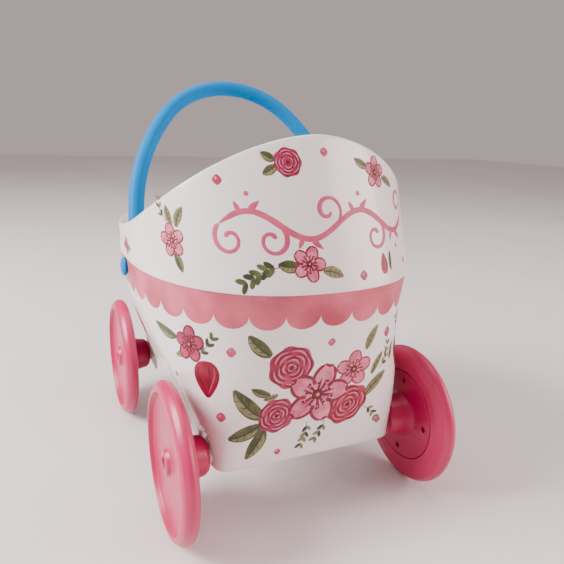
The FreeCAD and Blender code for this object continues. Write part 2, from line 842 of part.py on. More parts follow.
def tub_shape():
    """Deep shell with a raised floor, a neck for the hood, and open arches under the floor."""
    base = mm("tub_base")
    lip = mm("lip_height")
    floor = mm("floor_height")
    wall = mm("shell_wall")
    boss_end = mm("axle_boss_end")
    relief = mm("wheel_relief_radius")
    outer, inner = walls(tub_section, base, lip)
    hull = outer.common(slab(base, lip))
    solid = hull.cut([inner.common(slab(floor, lip + 1)), inner.common(slab(base - 1, floor - wall))])
    cups = [bar.common(hull) for bar in at_axles(relief + wall, boss_end - wall, REACH)]
    outer, inner = walls(neck_section, lip, lip)
    neck_wall = outer.cut(inner)
    neck = [neck_wall.common(slab(lip, lip + mm("neck_rise"))),
            neck_wall.common(hull.common(slab(lip - NECK_FOOT, lip)))]
    pivot_bosses = tub_bars(mm("pivot_setback"), mm("pivot_height"), mm("pivot_boss_radius"),
                            mm("pivot_boss_inner"), mm("pivot_boss_outer"))
    solid = solid.multiFuse(neck + cups + pivot_bosses)
    solid = solid.cut(at_axles(relief, boss_end, REACH))
    solid = solid.multiFuse(at_axles(mm("axle_boss_radius"), boss_end - mm("axle_boss_length"), boss_end))
    holes = [side_arch()]
    for _, end in ENDS:
        axle_line = mm("wheelbase") / 2 * end
        holes.append(bar_across(axle_line, mm("wheel_radius"), mm("axle_radius"), -REACH, REACH))
    running = mm("pivot_shaft_radius") + mm("bore_clearance")
    holes.append(bar_across(mm("pivot_setback"), mm("pivot_height"), running, -REACH, REACH))
    for point, direction in hood_screw_places():
        start = point - direction * DRILL_REACH
        holes.append(Part.makeCylinder(mm("screw_shank_radius"), DRILL_REACH * 2, start, direction))
    return solid.cut(holes)


def rim_line():
    """The hood's top edge seen from the side: high at the hood end, level behind the handle."""
    sweep = math.radians(mm("rim_sweep_degrees"))
    rise = mm("rim_peak") - mm("rim_low")
    points = []
    for step in range(RIM_STEPS + 1):
        angle = sweep * step / RIM_STEPS
        z = mm("rim_low") + rise * (0.5 + 0.5 * math.cos(math.pi * angle / sweep))
        share = (z - mm("lip_height")) / mm("hood_span")
        reach = mm("hood_half_length") - mm("hood_end_lean") * share
        power = 2 / (mm("hood_squareness") - mm("hood_softening") * share)
        y = -math.copysign(abs(math.cos(angle)) ** power, math.cos(angle)) * reach
        points.append(Vector(0, y, z))
    return points


def hood_shape():
    """Thin wall all round the tub's neck, tall at the hood end."""
    outer, inner = walls(hood_section, mm("lip_height"), mm("rim_peak"))
    solid = outer.cut([inner, slab(0, mm("lip_height"))])
    line = rim_line()
    sweep = Part.BSplineCurve()
    sweep.interpolate(line)
    corners = [line[-1], Vector(0, REACH, line[-1].z), Vector(0, REACH, 2 * REACH),
               Vector(0, -REACH, 2 * REACH), Vector(0, -REACH, line[0].z), line[0]]
    edges = [sweep.toShape()]
    edges += [Part.LineSegment(start, end).toShape() for start, end in zip(corners, corners[1:])]
    trim = Part.Face(Part.Wire(edges))
    trim.translate(Vector(-REACH, 0, 0))
    holes = [trim.extrude(Vector(2 * REACH, 0, 0))]
    depth = DRILL_REACH + mm("shell_wall") * SCREW_BITE
    for point, direction in hood_screw_places():
        start = point - direction * DRILL_REACH
        holes.append(Part.makeCylinder(mm("screw_shank_radius"), depth, start, direction))
    return solid.cut(holes)


def shaped_part(name, shape):
    feature = doc.addObject("Part::Feature", name)
    feature.Label = name
    feature.Shape = shape
    sub_parts.append(feature)


shaped_part("tub", tub_shape())
shaped_part("hood", hood_shape())
shaped_part("hood_screws", Part.makeCompound([screw_shape(*where) for where in hood_screw_places()]))


# ---------------------------------------------------------------- check and export

doc.recompute()
for feature in doc.Objects:
    if "Invalid" in feature.State or "Error" in feature.State:
        raise RuntimeError("%s failed: %s" % (feature.Label, feature.State))
os.makedirs("parts", exist_ok=True)
for part in sub_parts:
    if part.Shape.isNull() or not part.Shape.isValid():
        raise RuntimeError("%s has no valid shape" % part.Label)
    print("%-26s %9.1f mm3  %d solid(s)" % (part.Label, part.Shape.Volume, len(part.Shape.Solids)))
    part.Shape.exportStep("parts/%s.step" % part.Label)
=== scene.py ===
"""Looks of the doll stroller: moulded shells, painted ornament, wheels and handle.

Lengths inside the shape functions are millimetres in the part's own frame (+Z up, -Y the hood
end); build_mesh() turns them into metres. U is the distance along a shell from the middle of
the hood end, positive towards +X.
"""

import math
import random

import bmesh
import bpy
from mathutils import Matrix, Vector


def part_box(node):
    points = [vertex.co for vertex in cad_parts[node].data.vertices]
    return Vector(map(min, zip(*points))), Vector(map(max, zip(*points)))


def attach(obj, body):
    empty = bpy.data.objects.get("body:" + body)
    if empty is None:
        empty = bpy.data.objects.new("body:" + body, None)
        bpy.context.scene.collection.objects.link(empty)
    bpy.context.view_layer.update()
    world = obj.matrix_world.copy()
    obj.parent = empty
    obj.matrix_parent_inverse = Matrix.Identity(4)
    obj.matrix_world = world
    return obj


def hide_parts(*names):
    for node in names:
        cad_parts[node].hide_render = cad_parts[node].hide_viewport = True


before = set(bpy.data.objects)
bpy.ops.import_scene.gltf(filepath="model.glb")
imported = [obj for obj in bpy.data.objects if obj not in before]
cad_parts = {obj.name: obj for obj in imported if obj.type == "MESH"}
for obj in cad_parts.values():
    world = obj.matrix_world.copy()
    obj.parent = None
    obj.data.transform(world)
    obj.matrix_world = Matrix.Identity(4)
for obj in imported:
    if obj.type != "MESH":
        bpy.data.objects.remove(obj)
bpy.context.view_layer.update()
MM = 0.001


# ---------------------------------------------------------------- sizes, some read from the parts in model.glb

def box_mm(node):
    low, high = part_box(node)
    return low / MM, high / MM


tub_low, tub_high = box_mm("tub")
hood_low, hood_high = box_mm("hood")
shell_low, shell_high = box_mm("wheel_shell_front_right")
plug_low, plug_high = box_mm("pivot_plug_right")
washer_low, washer_high = box_mm("axle_washer_front_right")

TUB_BASE = tub_low.z
LIP = hood_low.z
NECK_TOP = tub_high.z
RIM_PEAK = hood_high.z
WALL = 2.6
NECK_FIT = 0.2
FLOOR = 115.0
FLOOR_ROUND = 7.0
TUB_BASE_SIZE = (97.3, 154.9, 16.0)
TUB_TOP_SIZE = (143.8, 183.0, 2.4)
SIDE_CURVE = 1.62
CORNER_FADE = 3.5
HOOD_BASE_SIZE = (145.3, hood_high.y, 2.37)
HOOD_CHANGE = (3.7, -43.2, -0.5)
HOOD_SPAN = 130.0
RIM_LOW = 269.0
RIM_SWEEP = math.radians(105.7)
ARCH_HALF_LENGTH = 97.0
ARCH_RISE = 42.0

WHEEL_RADIUS = (shell_high.z - shell_low.z) / 2
AXLE_HEIGHT = (shell_high.z + shell_low.z) / 2
AXLE_SETBACK = -(shell_high.y + shell_low.y) / 2
WHEEL_OUTER = shell_high.x
WHEEL_INNER = shell_low.x
WHEEL_WIDTH = WHEEL_OUTER - WHEEL_INNER

PIVOT_SETBACK = (plug_high.y + plug_low.y) / 2
PIVOT_HEIGHT = (plug_high.z + plug_low.z) / 2

AXLE_BOSS_END = washer_low.x
RELIEF_RADIUS = 22.0
AXLE_BOSS_DEPTH = 16.0
AXLE_BOSS_RADIUS = 9.5
AXLE_BORE = 3.1
PIVOT_BOSS_START = 136.5
PIVOT_BOSS_END = 143.3
PIVOT_BOSS_RADIUS = 10.9
PIVOT_BORE = 5.6
BORE_REACH = 160.0

SIDES = (("left", -1), ("right", 1))
ENDS = (("front", -1), ("rear", 1))


def mix(low, high, share):
    return low + (high - low) * share


def tub_size(z):
    """Half width, half length and squareness of the tub at one height."""
    share = (z - TUB_BASE) / (LIP - TUB_BASE)
    flare = math.sin(math.pi / 2 * max(share, 0.0)) ** SIDE_CURVE
    crisp = max(1.0 - share, 0.0) ** CORNER_FADE
    return (mix(TUB_BASE_SIZE[0], TUB_TOP_SIZE[0], flare),
            mix(TUB_BASE_SIZE[1], TUB_TOP_SIZE[1], share),
            mix(TUB_TOP_SIZE[2], TUB_BASE_SIZE[2], crisp))


def hood_size(z):
    share = (z - LIP) / HOOD_SPAN
    return tuple(base + change * share for base, change in zip(HOOD_BASE_SIZE, HOOD_CHANGE))


def on_section(size, inset, angle, z):
    """The point of a level section seen from its centre at this angle from the hood end."""
    across = abs(math.sin(angle)) / (size[0] - inset)
    along = abs(math.cos(angle)) / (size[1] - inset)
    reach = (across ** size[2] + along ** size[2]) ** (-1 / size[2])
    return Vector((reach * math.sin(angle), -reach * math.cos(angle), z))


def even_angles(size, count):
    """Angles that divide a section into equal lengths, starting at the hood end."""
    steps = 1440
    points = [on_section(size, 0, 2 * math.pi * i / steps, 0) for i in range(steps + 1)]
    run = [0.0]
    for before, after in zip(points, points[1:]):
        run.append(run[-1] + (after - before).length)
    angles = []
    at = 0
    for i in range(count):
        target = run[-1] * i / count
        while run[at + 1] < target:
            at += 1
        share = (target - run[at]) / (run[at + 1] - run[at])
        angles.append(2 * math.pi * (at + share) / steps)
    return angles


def rim_height(angle):
    """Height of the hood's edge: highest at the hood end, level behind the handle."""
    z = RIM_LOW
    for _ in range(5):
        half_width, half_length, power = hood_size(z)
        wide = (abs(math.sin(angle)) / half_width) ** (power / 2)
        long = (abs(math.cos(angle)) / half_length) ** (power / 2)
        turn = math.atan2(wide, long if math.cos(angle) >= 0 else -long)
        share = min(turn / RIM_SWEEP, 1.0)
        z = RIM_LOW + (RIM_PEAK - RIM_LOW) * (0.5 + 0.5 * math.cos(math.pi * share))
    return z


def arch_height(angle):
    """Height of the tub's lower edge, which arches up between the wheels."""
    z = TUB_BASE
    for _ in range(4):
        y = abs(on_section(tub_size(z), 0, angle, z).y)
        inside = max(0.0, 1.0 - (y / ARCH_HALF_LENGTH) ** 2)
        z = TUB_BASE + ARCH_RISE * math.sqrt(inside)
    return z


# ---------------------------------------------------------------- mesh helpers

def add_object(name, data):
    item = bpy.data.objects.new(name, data)
    bpy.context.scene.collection.objects.link(item)
    return item


def build_mesh(name, points, faces, smooth_angle=40):
    """A mesh object from points in millimetres."""
    mesh = bpy.data.meshes.new(name)
    mesh.from_pydata([tuple(point * MM) for point in points], [], faces)
    mesh.validate()
    tool = bmesh.new()
    tool.from_mesh(mesh)
    unused = [corner for corner in tool.verts if not corner.link_faces]
    bmesh.ops.delete(tool, geom=unused, context="VERTS")
    bmesh.ops.recalc_face_normals(tool, faces=tool.faces)
    tool.to_mesh(mesh)
    tool.free()
    mesh.shade_smooth()
    mesh.set_sharp_from_angle(angle=math.radians(smooth_angle))
    return add_object(name, mesh)


def grid_faces(rows, columns, wrap_rows=False, wrap_columns=True, start=0):
    faces = []
    for i in range(rows if wrap_rows else rows - 1):
        for j in range(columns if wrap_columns else columns - 1):
            a = i * columns + j
            b = i * columns + (j + 1) % columns
            c = (i + 1) % rows * columns + (j + 1) % columns
            d = (i + 1) % rows * columns + j
            faces.append(tuple(start + k for k in (a, b, c, d)))
    return faces


def fan_faces(centre, first, count):
    """Triangles from one corner to a ring of corners, which closes the ring."""
    return [(centre, first + j, first + (j + 1) % count) for j in range(count)]


def circle(count):
    """Cosine and sine of evenly spaced angles, once round."""
    turns = [2 * math.pi * j / count for j in range(count)]
    return [(math.cos(turn), math.sin(turn)) for turn in turns]


def facing(side):
    """Turns a piece that is drawn for the +X side to face the side it belongs on."""
    return Matrix.Rotation(math.pi, 4, "Z") if side < 0 else Matrix.Identity(4)


def apply_modifiers(piece):
    """Fix every modifier into the piece's mesh."""
    depsgraph = bpy.context.evaluated_depsgraph_get()
    mesh = bpy.data.meshes.new_from_object(piece.evaluated_get(depsgraph))
    piece.modifiers.clear()
    piece.data = mesh


def boolean(piece, tools, operation):
    for tool in tools:
        modifier = piece.modifiers.new(tool.name, "BOOLEAN")
        modifier.object = tool
        modifier.operation = operation
        modifier.solver = "EXACT"
    apply_modifiers(piece)
    for tool in tools:
        bpy.data.objects.remove(tool)


def smooth_again(piece):
    """Smooth shading with crisp edges, after a boolean."""
    piece.data.shade_smooth()
    piece.data.set_sharp_from_angle(angle=math.radians(40))


def finish_piece(piece, body, slot, material, *nodes):
    """Give a finished piece its material, hang it on its body and hide the parts of model.glb that it
    replaces.
    """
    piece.data.materials.clear()
    piece.data.materials.append(material)
    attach(piece, body)
    if nodes:
        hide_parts(*nodes)


def rounded_profile(corners, steps=5):
    """Replace each corner (x, r, radius) of a closed outline by an arc of that radius."""
    outline = []
    count = len(corners)
    for i, (x, y, radius) in enumerate(corners):
        here = Vector((x, y))
        before = Vector(corners[i - 1][:2])
        after = Vector(corners[(i + 1) % count][:2])
        to_before = (before - here).normalized()
        to_after = (after - here).normalized()
        half = math.acos(max(-1.0, min(1.0, to_before.dot(to_after)))) / 2
        room = 0.49 * min((before - here).length, (after - here).length)
        setback = min(radius / math.tan(half), room)
        radius = setback * math.tan(half)
        centre = here + (to_before + to_after).normalized() * (radius / math.sin(half))
        start = here + to_before * setback - centre
        finish = here + to_after * setback - centre
        for step in range(steps + 1):
            share = step / steps
            spoke = start * (1 - share) + finish * share
            outline.append(centre + spoke.normalized() * radius)
    return outline


def lathe(name, outline, segments, shift=None):
    """Turn a closed outline of (along X, radius) about the X axis; shift may dent it."""
    points = []
    for along, radius in outline:
        for j, (cosine, sine) in enumerate(circle(segments)):
            dent = shift(along, radius, 2 * math.pi * j / segments) if shift else 0.0
            points.append(Vector((along + dent, radius * cosine, radius * sine)))
    return build_mesh(name, points, grid_faces(len(outline), segments, wrap_rows=True))


def lathe_from_axis(name, outline, segments=64):
    """Turn an open outline whose two ends lie on the X axis."""
    points = [Vector((outline[0][0], 0, 0))]
    for along, radius in outline[1:-1]:
        points.extend(Vector((along, radius * cosine, radius * sine)) for cosine, sine in circle(segments))
    points.append(Vector((outline[-1][0], 0, 0)))
    rings = len(outline) - 2
    faces = grid_faces(rings, segments, start=1) + fan_faces(0, 1, segments)
    faces += fan_faces(len(points) - 1, 1 + (rings - 1) * segments, segments)
    return build_mesh(name, points, faces)


def cylinder_tool(name, start, end, radius, segments=48):
    """A plain bar between two points, used only to cut or to join."""
    axis = (end - start).normalized()
    side = axis.orthogonal().normalized()
    other = axis.cross(side)
    points = [start, end]
    for centre in (start, end):
        points.extend(centre + (side * cosine + other * sine) * radius for cosine, sine in circle(segments))
    faces = grid_faces(2, segments, start=2) + fan_faces(0, 2, segments)
    faces += fan_faces(1, 2 + segments, segments)
    return build_mesh(name, points, faces)


# ---------------------------------------------------------------- materials

class Look:
    """A material while it is being put together: its nodes and its shader."""

    def __init__(self, name):
        self.material = bpy.data.materials.new(name)
        self.material.use_nodes = True
        self.tree = self.material.node_tree
        self.shader = next(node for node in self.tree.nodes if node.type == "BSDF_PRINCIPLED")

    def feed(self, node, inputs):
        """Set each input to a value, or link it to another node's output."""
        for name, value in inputs.items():
            if isinstance(value, bpy.types.NodeSocket):
                self.tree.links.new(value, node.inputs[name])
            else:
                node.inputs[name].default_value = value

    def node(self, kind, inputs):
        node = self.tree.nodes.new("ShaderNode" + kind)
        self.feed(node, inputs)
        return node

    def own_metres(self):
        return self.node("TexCoord", {}).outputs["Object"]

    def noise(self, scale, detail, coordinates=None):
        """Noise in the object's own metres, or in other coordinates."""
        place = coordinates or self.own_metres()
        return self.node("TexNoise", {"Scale": scale, "Detail": detail, "Vector": place}).outputs["Fac"]

    def two_tone(self, factor, dark, light, edge=0.3):
        """From the dark colour to the light one across the middle of a factor's range."""
        node = self.node("ValToRGB", {"Fac": factor})
        for element, position, colour in zip(node.color_ramp.elements, (edge, 1 - edge), (dark, light)):
            element.position = position
            element.color = (*colour, 1)
        return node.outputs["Color"]

    def between(self, factor, low, high):
        """From low to high across the middle of a factor's range."""
        inputs = {"Value": factor, "From Min": 0.3, "From Max": 0.7, "To Min": low, "To Max": high}
        return self.node("MapRange", inputs).outputs["Result"]

    def bump(self, height, strength, distance):
        inputs = {"Height": height, "Strength": strength, "Distance": distance}
        return self.node("Bump", inputs).outputs["Normal"]

    def finish(self, inputs):
        self.feed(self.shader, inputs)
        return self.material


def moulded_plastic(name, dark, light, roughness, coat, specular=0.5):
    """Glossy moulded plastic: faint mottling, a fine orange peel and handling marks in the gloss."""
    look = Look(name)
    return look.finish({
        "Base Color": look.two_tone(look.noise(9.0, 4.0), dark, light),
        "Roughness": look.between(look.noise(60.0, 6.0), *roughness),
        "Specular IOR Level": specular, "Coat Weight": coat, "Coat Roughness": 0.12,
        "Normal": look.bump(look.noise(900.0, 2.0), 0.08, 0.0004),
    })


def brushed_metal(name, dark, light, roughness):
    """Metal with fine streaks along X, the way the rods are drawn."""
    look = Look(name)
    stretch = look.node("Mapping", {"Vector": look.own_metres(), "Scale": (0.04, 1.0, 1.0)})
    streaks = look.noise(2500.0, 3.0, stretch.outputs["Vector"])
    return look.finish({
        "Base Color": look.two_tone(streaks, dark, light),
        "Roughness": look.between(streaks, roughness - 0.08, roughness + 0.1),
        "Metallic": 1.0,
        "Normal": look.bump(streaks, 0.15, 0.0002),
    })


def brush_paint(name, dark, light, streak):
    """Hand-laid acrylic: two tones that run together, brush marks, a soft sheen."""
    look = Look(name)
    bristles = look.noise(streak * 14, 2.0)
    return look.finish({
        "Base Color": look.two_tone(look.noise(streak, 5.0), dark, light, 0.36),
        "Roughness": look.between(bristles, 0.34, 0.54),
        "Specular IOR Level": 0.3, "Coat Weight": 0.1, "Coat Roughness": 0.2,
        "Normal": look.bump(bristles, 0.25, 0.0003),
    })


WHITE = moulded_plastic("white_plastic", (0.81, 0.77, 0.76), (0.87, 0.835, 0.825), (0.22, 0.34), 0.35)
PINK = moulded_plastic("pink_plastic", (0.49, 0.012, 0.088), (0.52, 0.016, 0.102), (0.30, 0.38), 0.08)
# Darker pink for the wheels' inner plates: painted shade, standing in for the shade and the red bounce light
# between each wheel and the tub.
PINK_PAINTED_SHADE = moulded_plastic("pink_plastic_painted_shade", (0.42, 0.003, 0.064), (0.45, 0.005, 0.076),
                            (0.30, 0.38), 0.08)
BLUE = moulded_plastic("blue_plastic", (0.0, 0.19, 0.50), (0.0, 0.21, 0.54), (0.30, 0.38), 0.0, 0.04)
STEEL = brushed_metal("steel", (0.45, 0.45, 0.46), (0.62, 0.62, 0.63), 0.32)
DARK_STEEL = brushed_metal("zinc_steel", (0.32, 0.32, 0.34), (0.5, 0.5, 0.52), 0.38)
NYLON = moulded_plastic("nylon", (0.70, 0.69, 0.66), (0.77, 0.76, 0.73), (0.4, 0.5), 0.0)


# ---------------------------------------------------------------- tub

COLUMNS = 384


def held_back(point, inset):
    """The wall is flattened where each wheel's boss turns beside it."""
    away = math.hypot(abs(point.y) - AXLE_SETBACK, point.z - AXLE_HEIGHT)
    reach = AXLE_BOSS_END - 0.2 - inset + max(0.0, away - RELIEF_RADIUS) * 1.5
    if abs(point.x) > reach:
        point.x = math.copysign(reach, point.x)
    return point


def tub_rows(angle):
    """One column of the tub: out under the floor, down the inside of the skirt, round its foot, up
    the outside, over the neck inside the hood, down the inner wall and in across the floor."""
    foot = arch_height(angle)
    half = WALL / 2
    rows = []

    def add(size_of, inset, z, scale=1.0):
        point = held_back(on_section(size_of(z), inset, angle, z), inset)
        rows.append(Vector((point.x * scale, point.y * scale, z)))

    under = FLOOR - WALL
    for scale in (0.25, 0.5, 0.75, 0.92):
        add(tub_size, WALL, under, scale)
    add(tub_size, WALL + 2.0, under)
    add(tub_size, WALL + 0.6, under - 0.6)
    add(tub_size, WALL, under - 2.0)
    inner_foot = foot + half
    for step in range(1, 10):
        add(tub_size, WALL, mix(under - 2.0, inner_foot, step / 9))
    for step in range(1, 6):
        turn = math.pi * step / 6
        add(tub_size, half + half * math.cos(turn), inner_foot - half * math.sin(turn))
    for step in range(46):
        add(tub_size, 0.0, mix(inner_foot, LIP - 0.8, step / 45))
    add(tub_size, 0.25, LIP - 0.25)
    add(tub_size, 0.9, LIP)
    outer = WALL + NECK_FIT
    add(hood_size, outer, LIP + 0.05)
    for share in (0.25, 0.5, 0.75, 0.94):
        add(hood_size, outer, mix(LIP, NECK_TOP, share))
    add(hood_size, outer + 0.7, NECK_TOP)
    add(hood_size, outer + WALL - 0.7, NECK_TOP)
    for share in (0.94, 0.6, 0.3, 0.0):
        add(hood_size, outer + WALL, mix(LIP, NECK_TOP, share))
    wall_foot = FLOOR + FLOOR_ROUND
    for step in range(1, 34):
        add(tub_size, WALL, mix(LIP, wall_foot, step / 33))
    for step in range(1, 6):
        turn = math.pi / 2 * step / 5
        add(tub_size, WALL + FLOOR_ROUND * (1 - math.cos(turn)), wall_foot - FLOOR_ROUND * math.sin(turn))
    for scale in (0.9, 0.75, 0.5, 0.25):
        add(tub_size, WALL + FLOOR_ROUND, FLOOR, scale)
    return rows


def make_tub():
    """The tub's shell, with round holes through it for the pivots and the axles."""
    columns = [tub_rows(angle) for angle in even_angles(tub_size(150.0), COLUMNS)]
    row_count = len(columns[0])
    points = [Vector((0, 0, FLOOR - WALL))]
    for i in range(row_count):
        points.extend(column[i] for column in columns)
    points.append(Vector((0, 0, FLOOR)))
    faces = grid_faces(row_count, COLUMNS, start=1) + fan_faces(0, 1, COLUMNS)
    faces += fan_faces(len(points) - 1, 1 + (row_count - 1) * COLUMNS, COLUMNS)
    piece = build_mesh("tub_shell", points, faces)
    bores = []
    for y, z, radius in ((PIVOT_SETBACK, PIVOT_HEIGHT, PIVOT_BORE),
                         (-AXLE_SETBACK, AXLE_HEIGHT, AXLE_BORE), (AXLE_SETBACK, AXLE_HEIGHT, AXLE_BORE)):
        start, end = (Vector((x, y, z)) for x in (-BORE_REACH, BORE_REACH))
        bores.append(cylinder_tool("bore", start, end, radius))
    boolean(piece, bores, "DIFFERENCE")
    smooth_again(piece)
    return piece


def make_boss(name, start, end, radius, bore, place, side):
    """A round boss moulded onto the tub's wall."""
    corners = [(start, bore, 0.2), (start, radius, 0.9), (end, radius, 0.5), (end, bore, 0.3)]
    piece = lathe(name, finer(rounded_profile(corners), 3.0), 64)
    piece.data.transform(Matrix.Translation(Vector(place) * MM) @ facing(side))
    return piece


# ---------------------------------------------------------------- hood

def hood_rows(angle):
    """One column of the hood's wall: up the outside, over the rounded rim, down the inside."""
    top = rim_height(angle)
    bead = WALL / 2
    rows = []

    def add(inset, z):
        rows.append(on_section(hood_size(z), inset, angle, z))

    add(0.7, LIP + 0.05)
    add(0.15, LIP + 0.35)
    add(0.0, LIP + 1.0)
    for step in range(1, 35):
        add(0.0, mix(LIP + 1.0, top - bead, step / 34))
    for step in range(1, 8):
        turn = math.pi * step / 8
        add(bead - bead * math.cos(turn), top - bead + bead * math.sin(turn))
    for step in range(35):
        add(WALL, mix(top - bead, LIP + 1.0, step / 34))
    add(WALL - 0.4, LIP + 0.05)
    return rows


def make_hood():
    columns = [hood_rows(angle) for angle in even_angles(hood_size(280.0), COLUMNS)]
    row_count = len(columns[0])
    points = [column[i] for i in range(row_count) for column in columns]
    return build_mesh("hood_shell", points, grid_faces(row_count, COLUMNS, wrap_rows=True))


# ---------------------------------------------------------------- wheels

SCREW_CIRCLE = 39.0


def finer(outline, longest):
    """Split the long runs of a closed outline."""
    points = []
    for i, here in enumerate(outline):
        following = outline[(i + 1) % len(outline)]
        parts = max(1, math.ceil((following - here).length / longest))
        points.extend(here.lerp(following, part / parts) for part in range(parts))
    return points


def sink_marks(along, radius, turn):
    """Faint dimples on the web, opposite the four screw posts."""
    nearest = round(turn / (math.pi / 2)) * math.pi / 2
    away = math.hypot(radius - SCREW_CIRCLE, radius * (turn - nearest))
    return -0.55 * math.exp(-(away / 3.4) ** 2) if along > 10 else 0.0


def make_wheel_shell(name, centre, side):
    """Tread, rim lip, dished web and hub sleeve; its inner edge leaves a seam round the disc."""
    width = WHEEL_WIDTH
    rim = WHEEL_RADIUS
    corners = [
        (0.0, 49.8, 0.9), (0.0, 60.0, 4.0), (2.0, rim - 3.8, 6.0), (width * 0.5, rim + 1.0, 12.0),
        (width - 1.8, rim - 4.0, 6.0), (width, 67.2, 1.4), (width, 64.6, 0.8),
        (width - 4.6, 62.6, 1.2), (width - 5.6, 54.0, 4.0), (width - 5.4, 17.0, 3.0),
        (width - 4.8, 13.2, 1.4), (width - 1.2, 11.0, 1.2), (width - 0.2, 7.6, 0.8),
        (width - 0.6, 5.6, 0.4), (width - 5.0, 5.6, 0.4), (width - 5.0, AXLE_BORE, 0.2),
        (3.0, AXLE_BORE, 0.2), (3.0, 7.5, 0.4),
        (8.8, 7.5, 0.5), (8.8, 60.0, 2.0), (11.0, 64.0, 2.0), (13.0, 70.0, 2.0), (5.0, 71.5, 2.0),
        (2.4, 69.0, 1.0), (2.4, 49.8, 0.5),
    ]
    outline = finer(rounded_profile(corners), 2.6)
    outline = [Vector((point.x, min(point.y, rim))) for point in outline]
    piece = lathe(name, outline, 128, sink_marks)
    move_wheel_piece(piece, centre, side)
    return piece


def move_wheel_piece(piece, centre, side):
    inner_face = Matrix.Translation(Vector((WHEEL_INNER * MM, 0, 0)))
    piece.data.transform(Matrix.Translation(centre * MM) @ facing(side) @ inner_face)


def make_wheel_disc(name, centre, side, length):
    """Inner plate with its bulging conical boss, and wells for the four screws."""
    corners = [
        (-length, AXLE_BORE, 0.2), (-length, 15.6, 1.6), (-length + 3.6, 18.6, 2.6), (-6.5, 21.0, 6.0),
        (-0.9, 22.6, 1.5), (0.0, 26.0, 2.0), (0.0, 49.0, 0.9), (2.9, 49.0, 0.3), (2.9, 21.0, 0.5),
        (0.0, 19.0, 1.0), (-length + 4.0, 15.0, 1.0), (-length + 4.0, AXLE_BORE, 0.2),
    ]
    piece = lathe(name, finer(rounded_profile(corners), 2.6), 128)
    cups, wells = [], []
    for step in range(4):
        turn = step * math.pi / 2
        axis = Vector((0, math.cos(turn), math.sin(turn))) * SCREW_CIRCLE
        bars = ((cups, 1.5, 6.6, 4.5), (wells, -1.0, 5.0, 3.1), (wells, 4.0, 8.0, 1.6))
        for tools, start, end, radius in bars:
            start, end = (axis + Vector((x, 0, 0)) for x in (start, end))
            tools.append(cylinder_tool("bar", start, end, radius, 32))
    boolean(piece, cups, "UNION")
    boolean(piece, wells, "DIFFERENCE")
    smooth_again(piece)
    move_wheel_piece(piece, centre, side)
    return piece


# ---------------------------------------------------------------- handle and pivot plugs

HANDLE_HALF = 127.5
HANDLE_RISE = 213.75
HANDLE_SHOULDER = 37.5
HANDLE_CROWN = 100.0
HANDLE_TAIL = 9.0
HANDLE_TUBE = 8.5
HANDLE_EDGE = 4.5
HANDLE_LEAN = math.radians(28)


def handle_line():
    """Centre line of the arch, from its left end over the top to its right end, drawn upright."""
    rise = HANDLE_RISE - HANDLE_SHOULDER - HANDLE_CROWN
    flank = (HANDLE_HALF ** 2 + rise ** 2 - HANDLE_CROWN ** 2) / (2 * (HANDLE_HALF - HANDLE_CROWN))
    join = math.pi / 2 - math.atan2(flank - HANDLE_HALF, rise)
    low = -math.asin((HANDLE_SHOULDER + HANDLE_TAIL) / flank)
    right = []
    for step in range(49):
        angle = mix(math.pi / 2, join, step / 48)
        right.append(Vector((HANDLE_CROWN * math.cos(angle),
                             HANDLE_RISE - HANDLE_CROWN + HANDLE_CROWN * math.sin(angle))))
    for step in range(1, 41):
        angle = mix(join, low, step / 40)
        right.append(Vector((HANDLE_HALF - flank + flank * math.cos(angle),
                             HANDLE_SHOULDER + flank * math.sin(angle))))
    left = [Vector((-point.x, point.y)) for point in reversed(right[1:])]
    return left + right


def leaned(x, up, out):
    """From the upright plane of the arch to its place, leaned back about the pivots."""
    y = up * math.sin(HANDLE_LEAN) + out * math.cos(HANDLE_LEAN)
    z = up * math.cos(HANDLE_LEAN) - out * math.sin(HANDLE_LEAN)
    return Vector((x, PIVOT_SETBACK + y, PIVOT_HEIGHT + z))


def make_handle():
    """A round tube along the arch, with rounded ends."""
    line = handle_line()
    rings = []
    for i, point in enumerate(line):
        before = line[max(i - 1, 0)]
        after = line[min(i + 1, len(line) - 1)]
        along = (after - before).normalized()
        rings.append((point, along, HANDLE_TUBE))
    for end, sign in ((0, -1), (-1, 1)):
        point, along, _ = rings[end]
        caps = []
        for step in range(7):
            turn = math.pi / 2 * step / 6
            back = point - along * sign * HANDLE_EDGE * (1 - math.sin(turn))
            caps.append((back, along, HANDLE_TUBE - HANDLE_EDGE * (1 - math.cos(turn))))
        if end == 0:
            rings = list(reversed(caps)) + rings[3:]
        else:
            rings = rings[:-3] + caps
    segments = 40
    points = []
    for point, along, radius in rings:
        for cosine, sine in circle(segments):
            across = Vector((along.y, -along.x)) * radius * cosine
            points.append(leaned(point.x + across.x, point.y + across.y, radius * sine))
    faces = grid_faces(len(rings), segments)
    for centre, first in ((rings[0][0], 0), (rings[-1][0], (len(rings) - 1) * segments)):
        points.append(leaned(centre.x, centre.y, 0))
        faces += fan_faces(len(points) - 1, first, segments)
    return build_mesh("handle_arch", points, faces)


def make_plug(name, side):
    """Domed cap with a rolled edge, and the shaft behind it."""
    reach = plug_high.x
    inner = plug_low.x
    cap = (plug_high.z - plug_low.z) / 2
    shaft = 5.5
    outline = [Vector((inner, 0)), Vector((inner, shaft - 0.4)), Vector((inner + 0.4, shaft))]
    outline += [Vector((mix(inner + 0.4, reach - 5.4, step / 6), shaft)) for step in range(1, 7)]
    outline += [Vector((reach - 5.4, cap - 0.8)), Vector((reach - 5.1, cap - 0.2)),
                Vector((reach - 4.6, cap))]
    for step in range(13):
        turn = math.pi / 2 * step / 12
        outline.append(Vector((reach - 3.4 + 3.4 * math.sin(turn),
                               (cap - 3.4) * (1 - step / 12) ** 0.6 + 3.4 * math.cos(turn))))
    outline[-1] = Vector((reach, 0))
    piece = lathe_from_axis(name, outline)
    place = Vector((0, PIVOT_SETBACK, PIVOT_HEIGHT)) * MM
    piece.data.transform(Matrix.Translation(place) @ facing(side))
    return piece


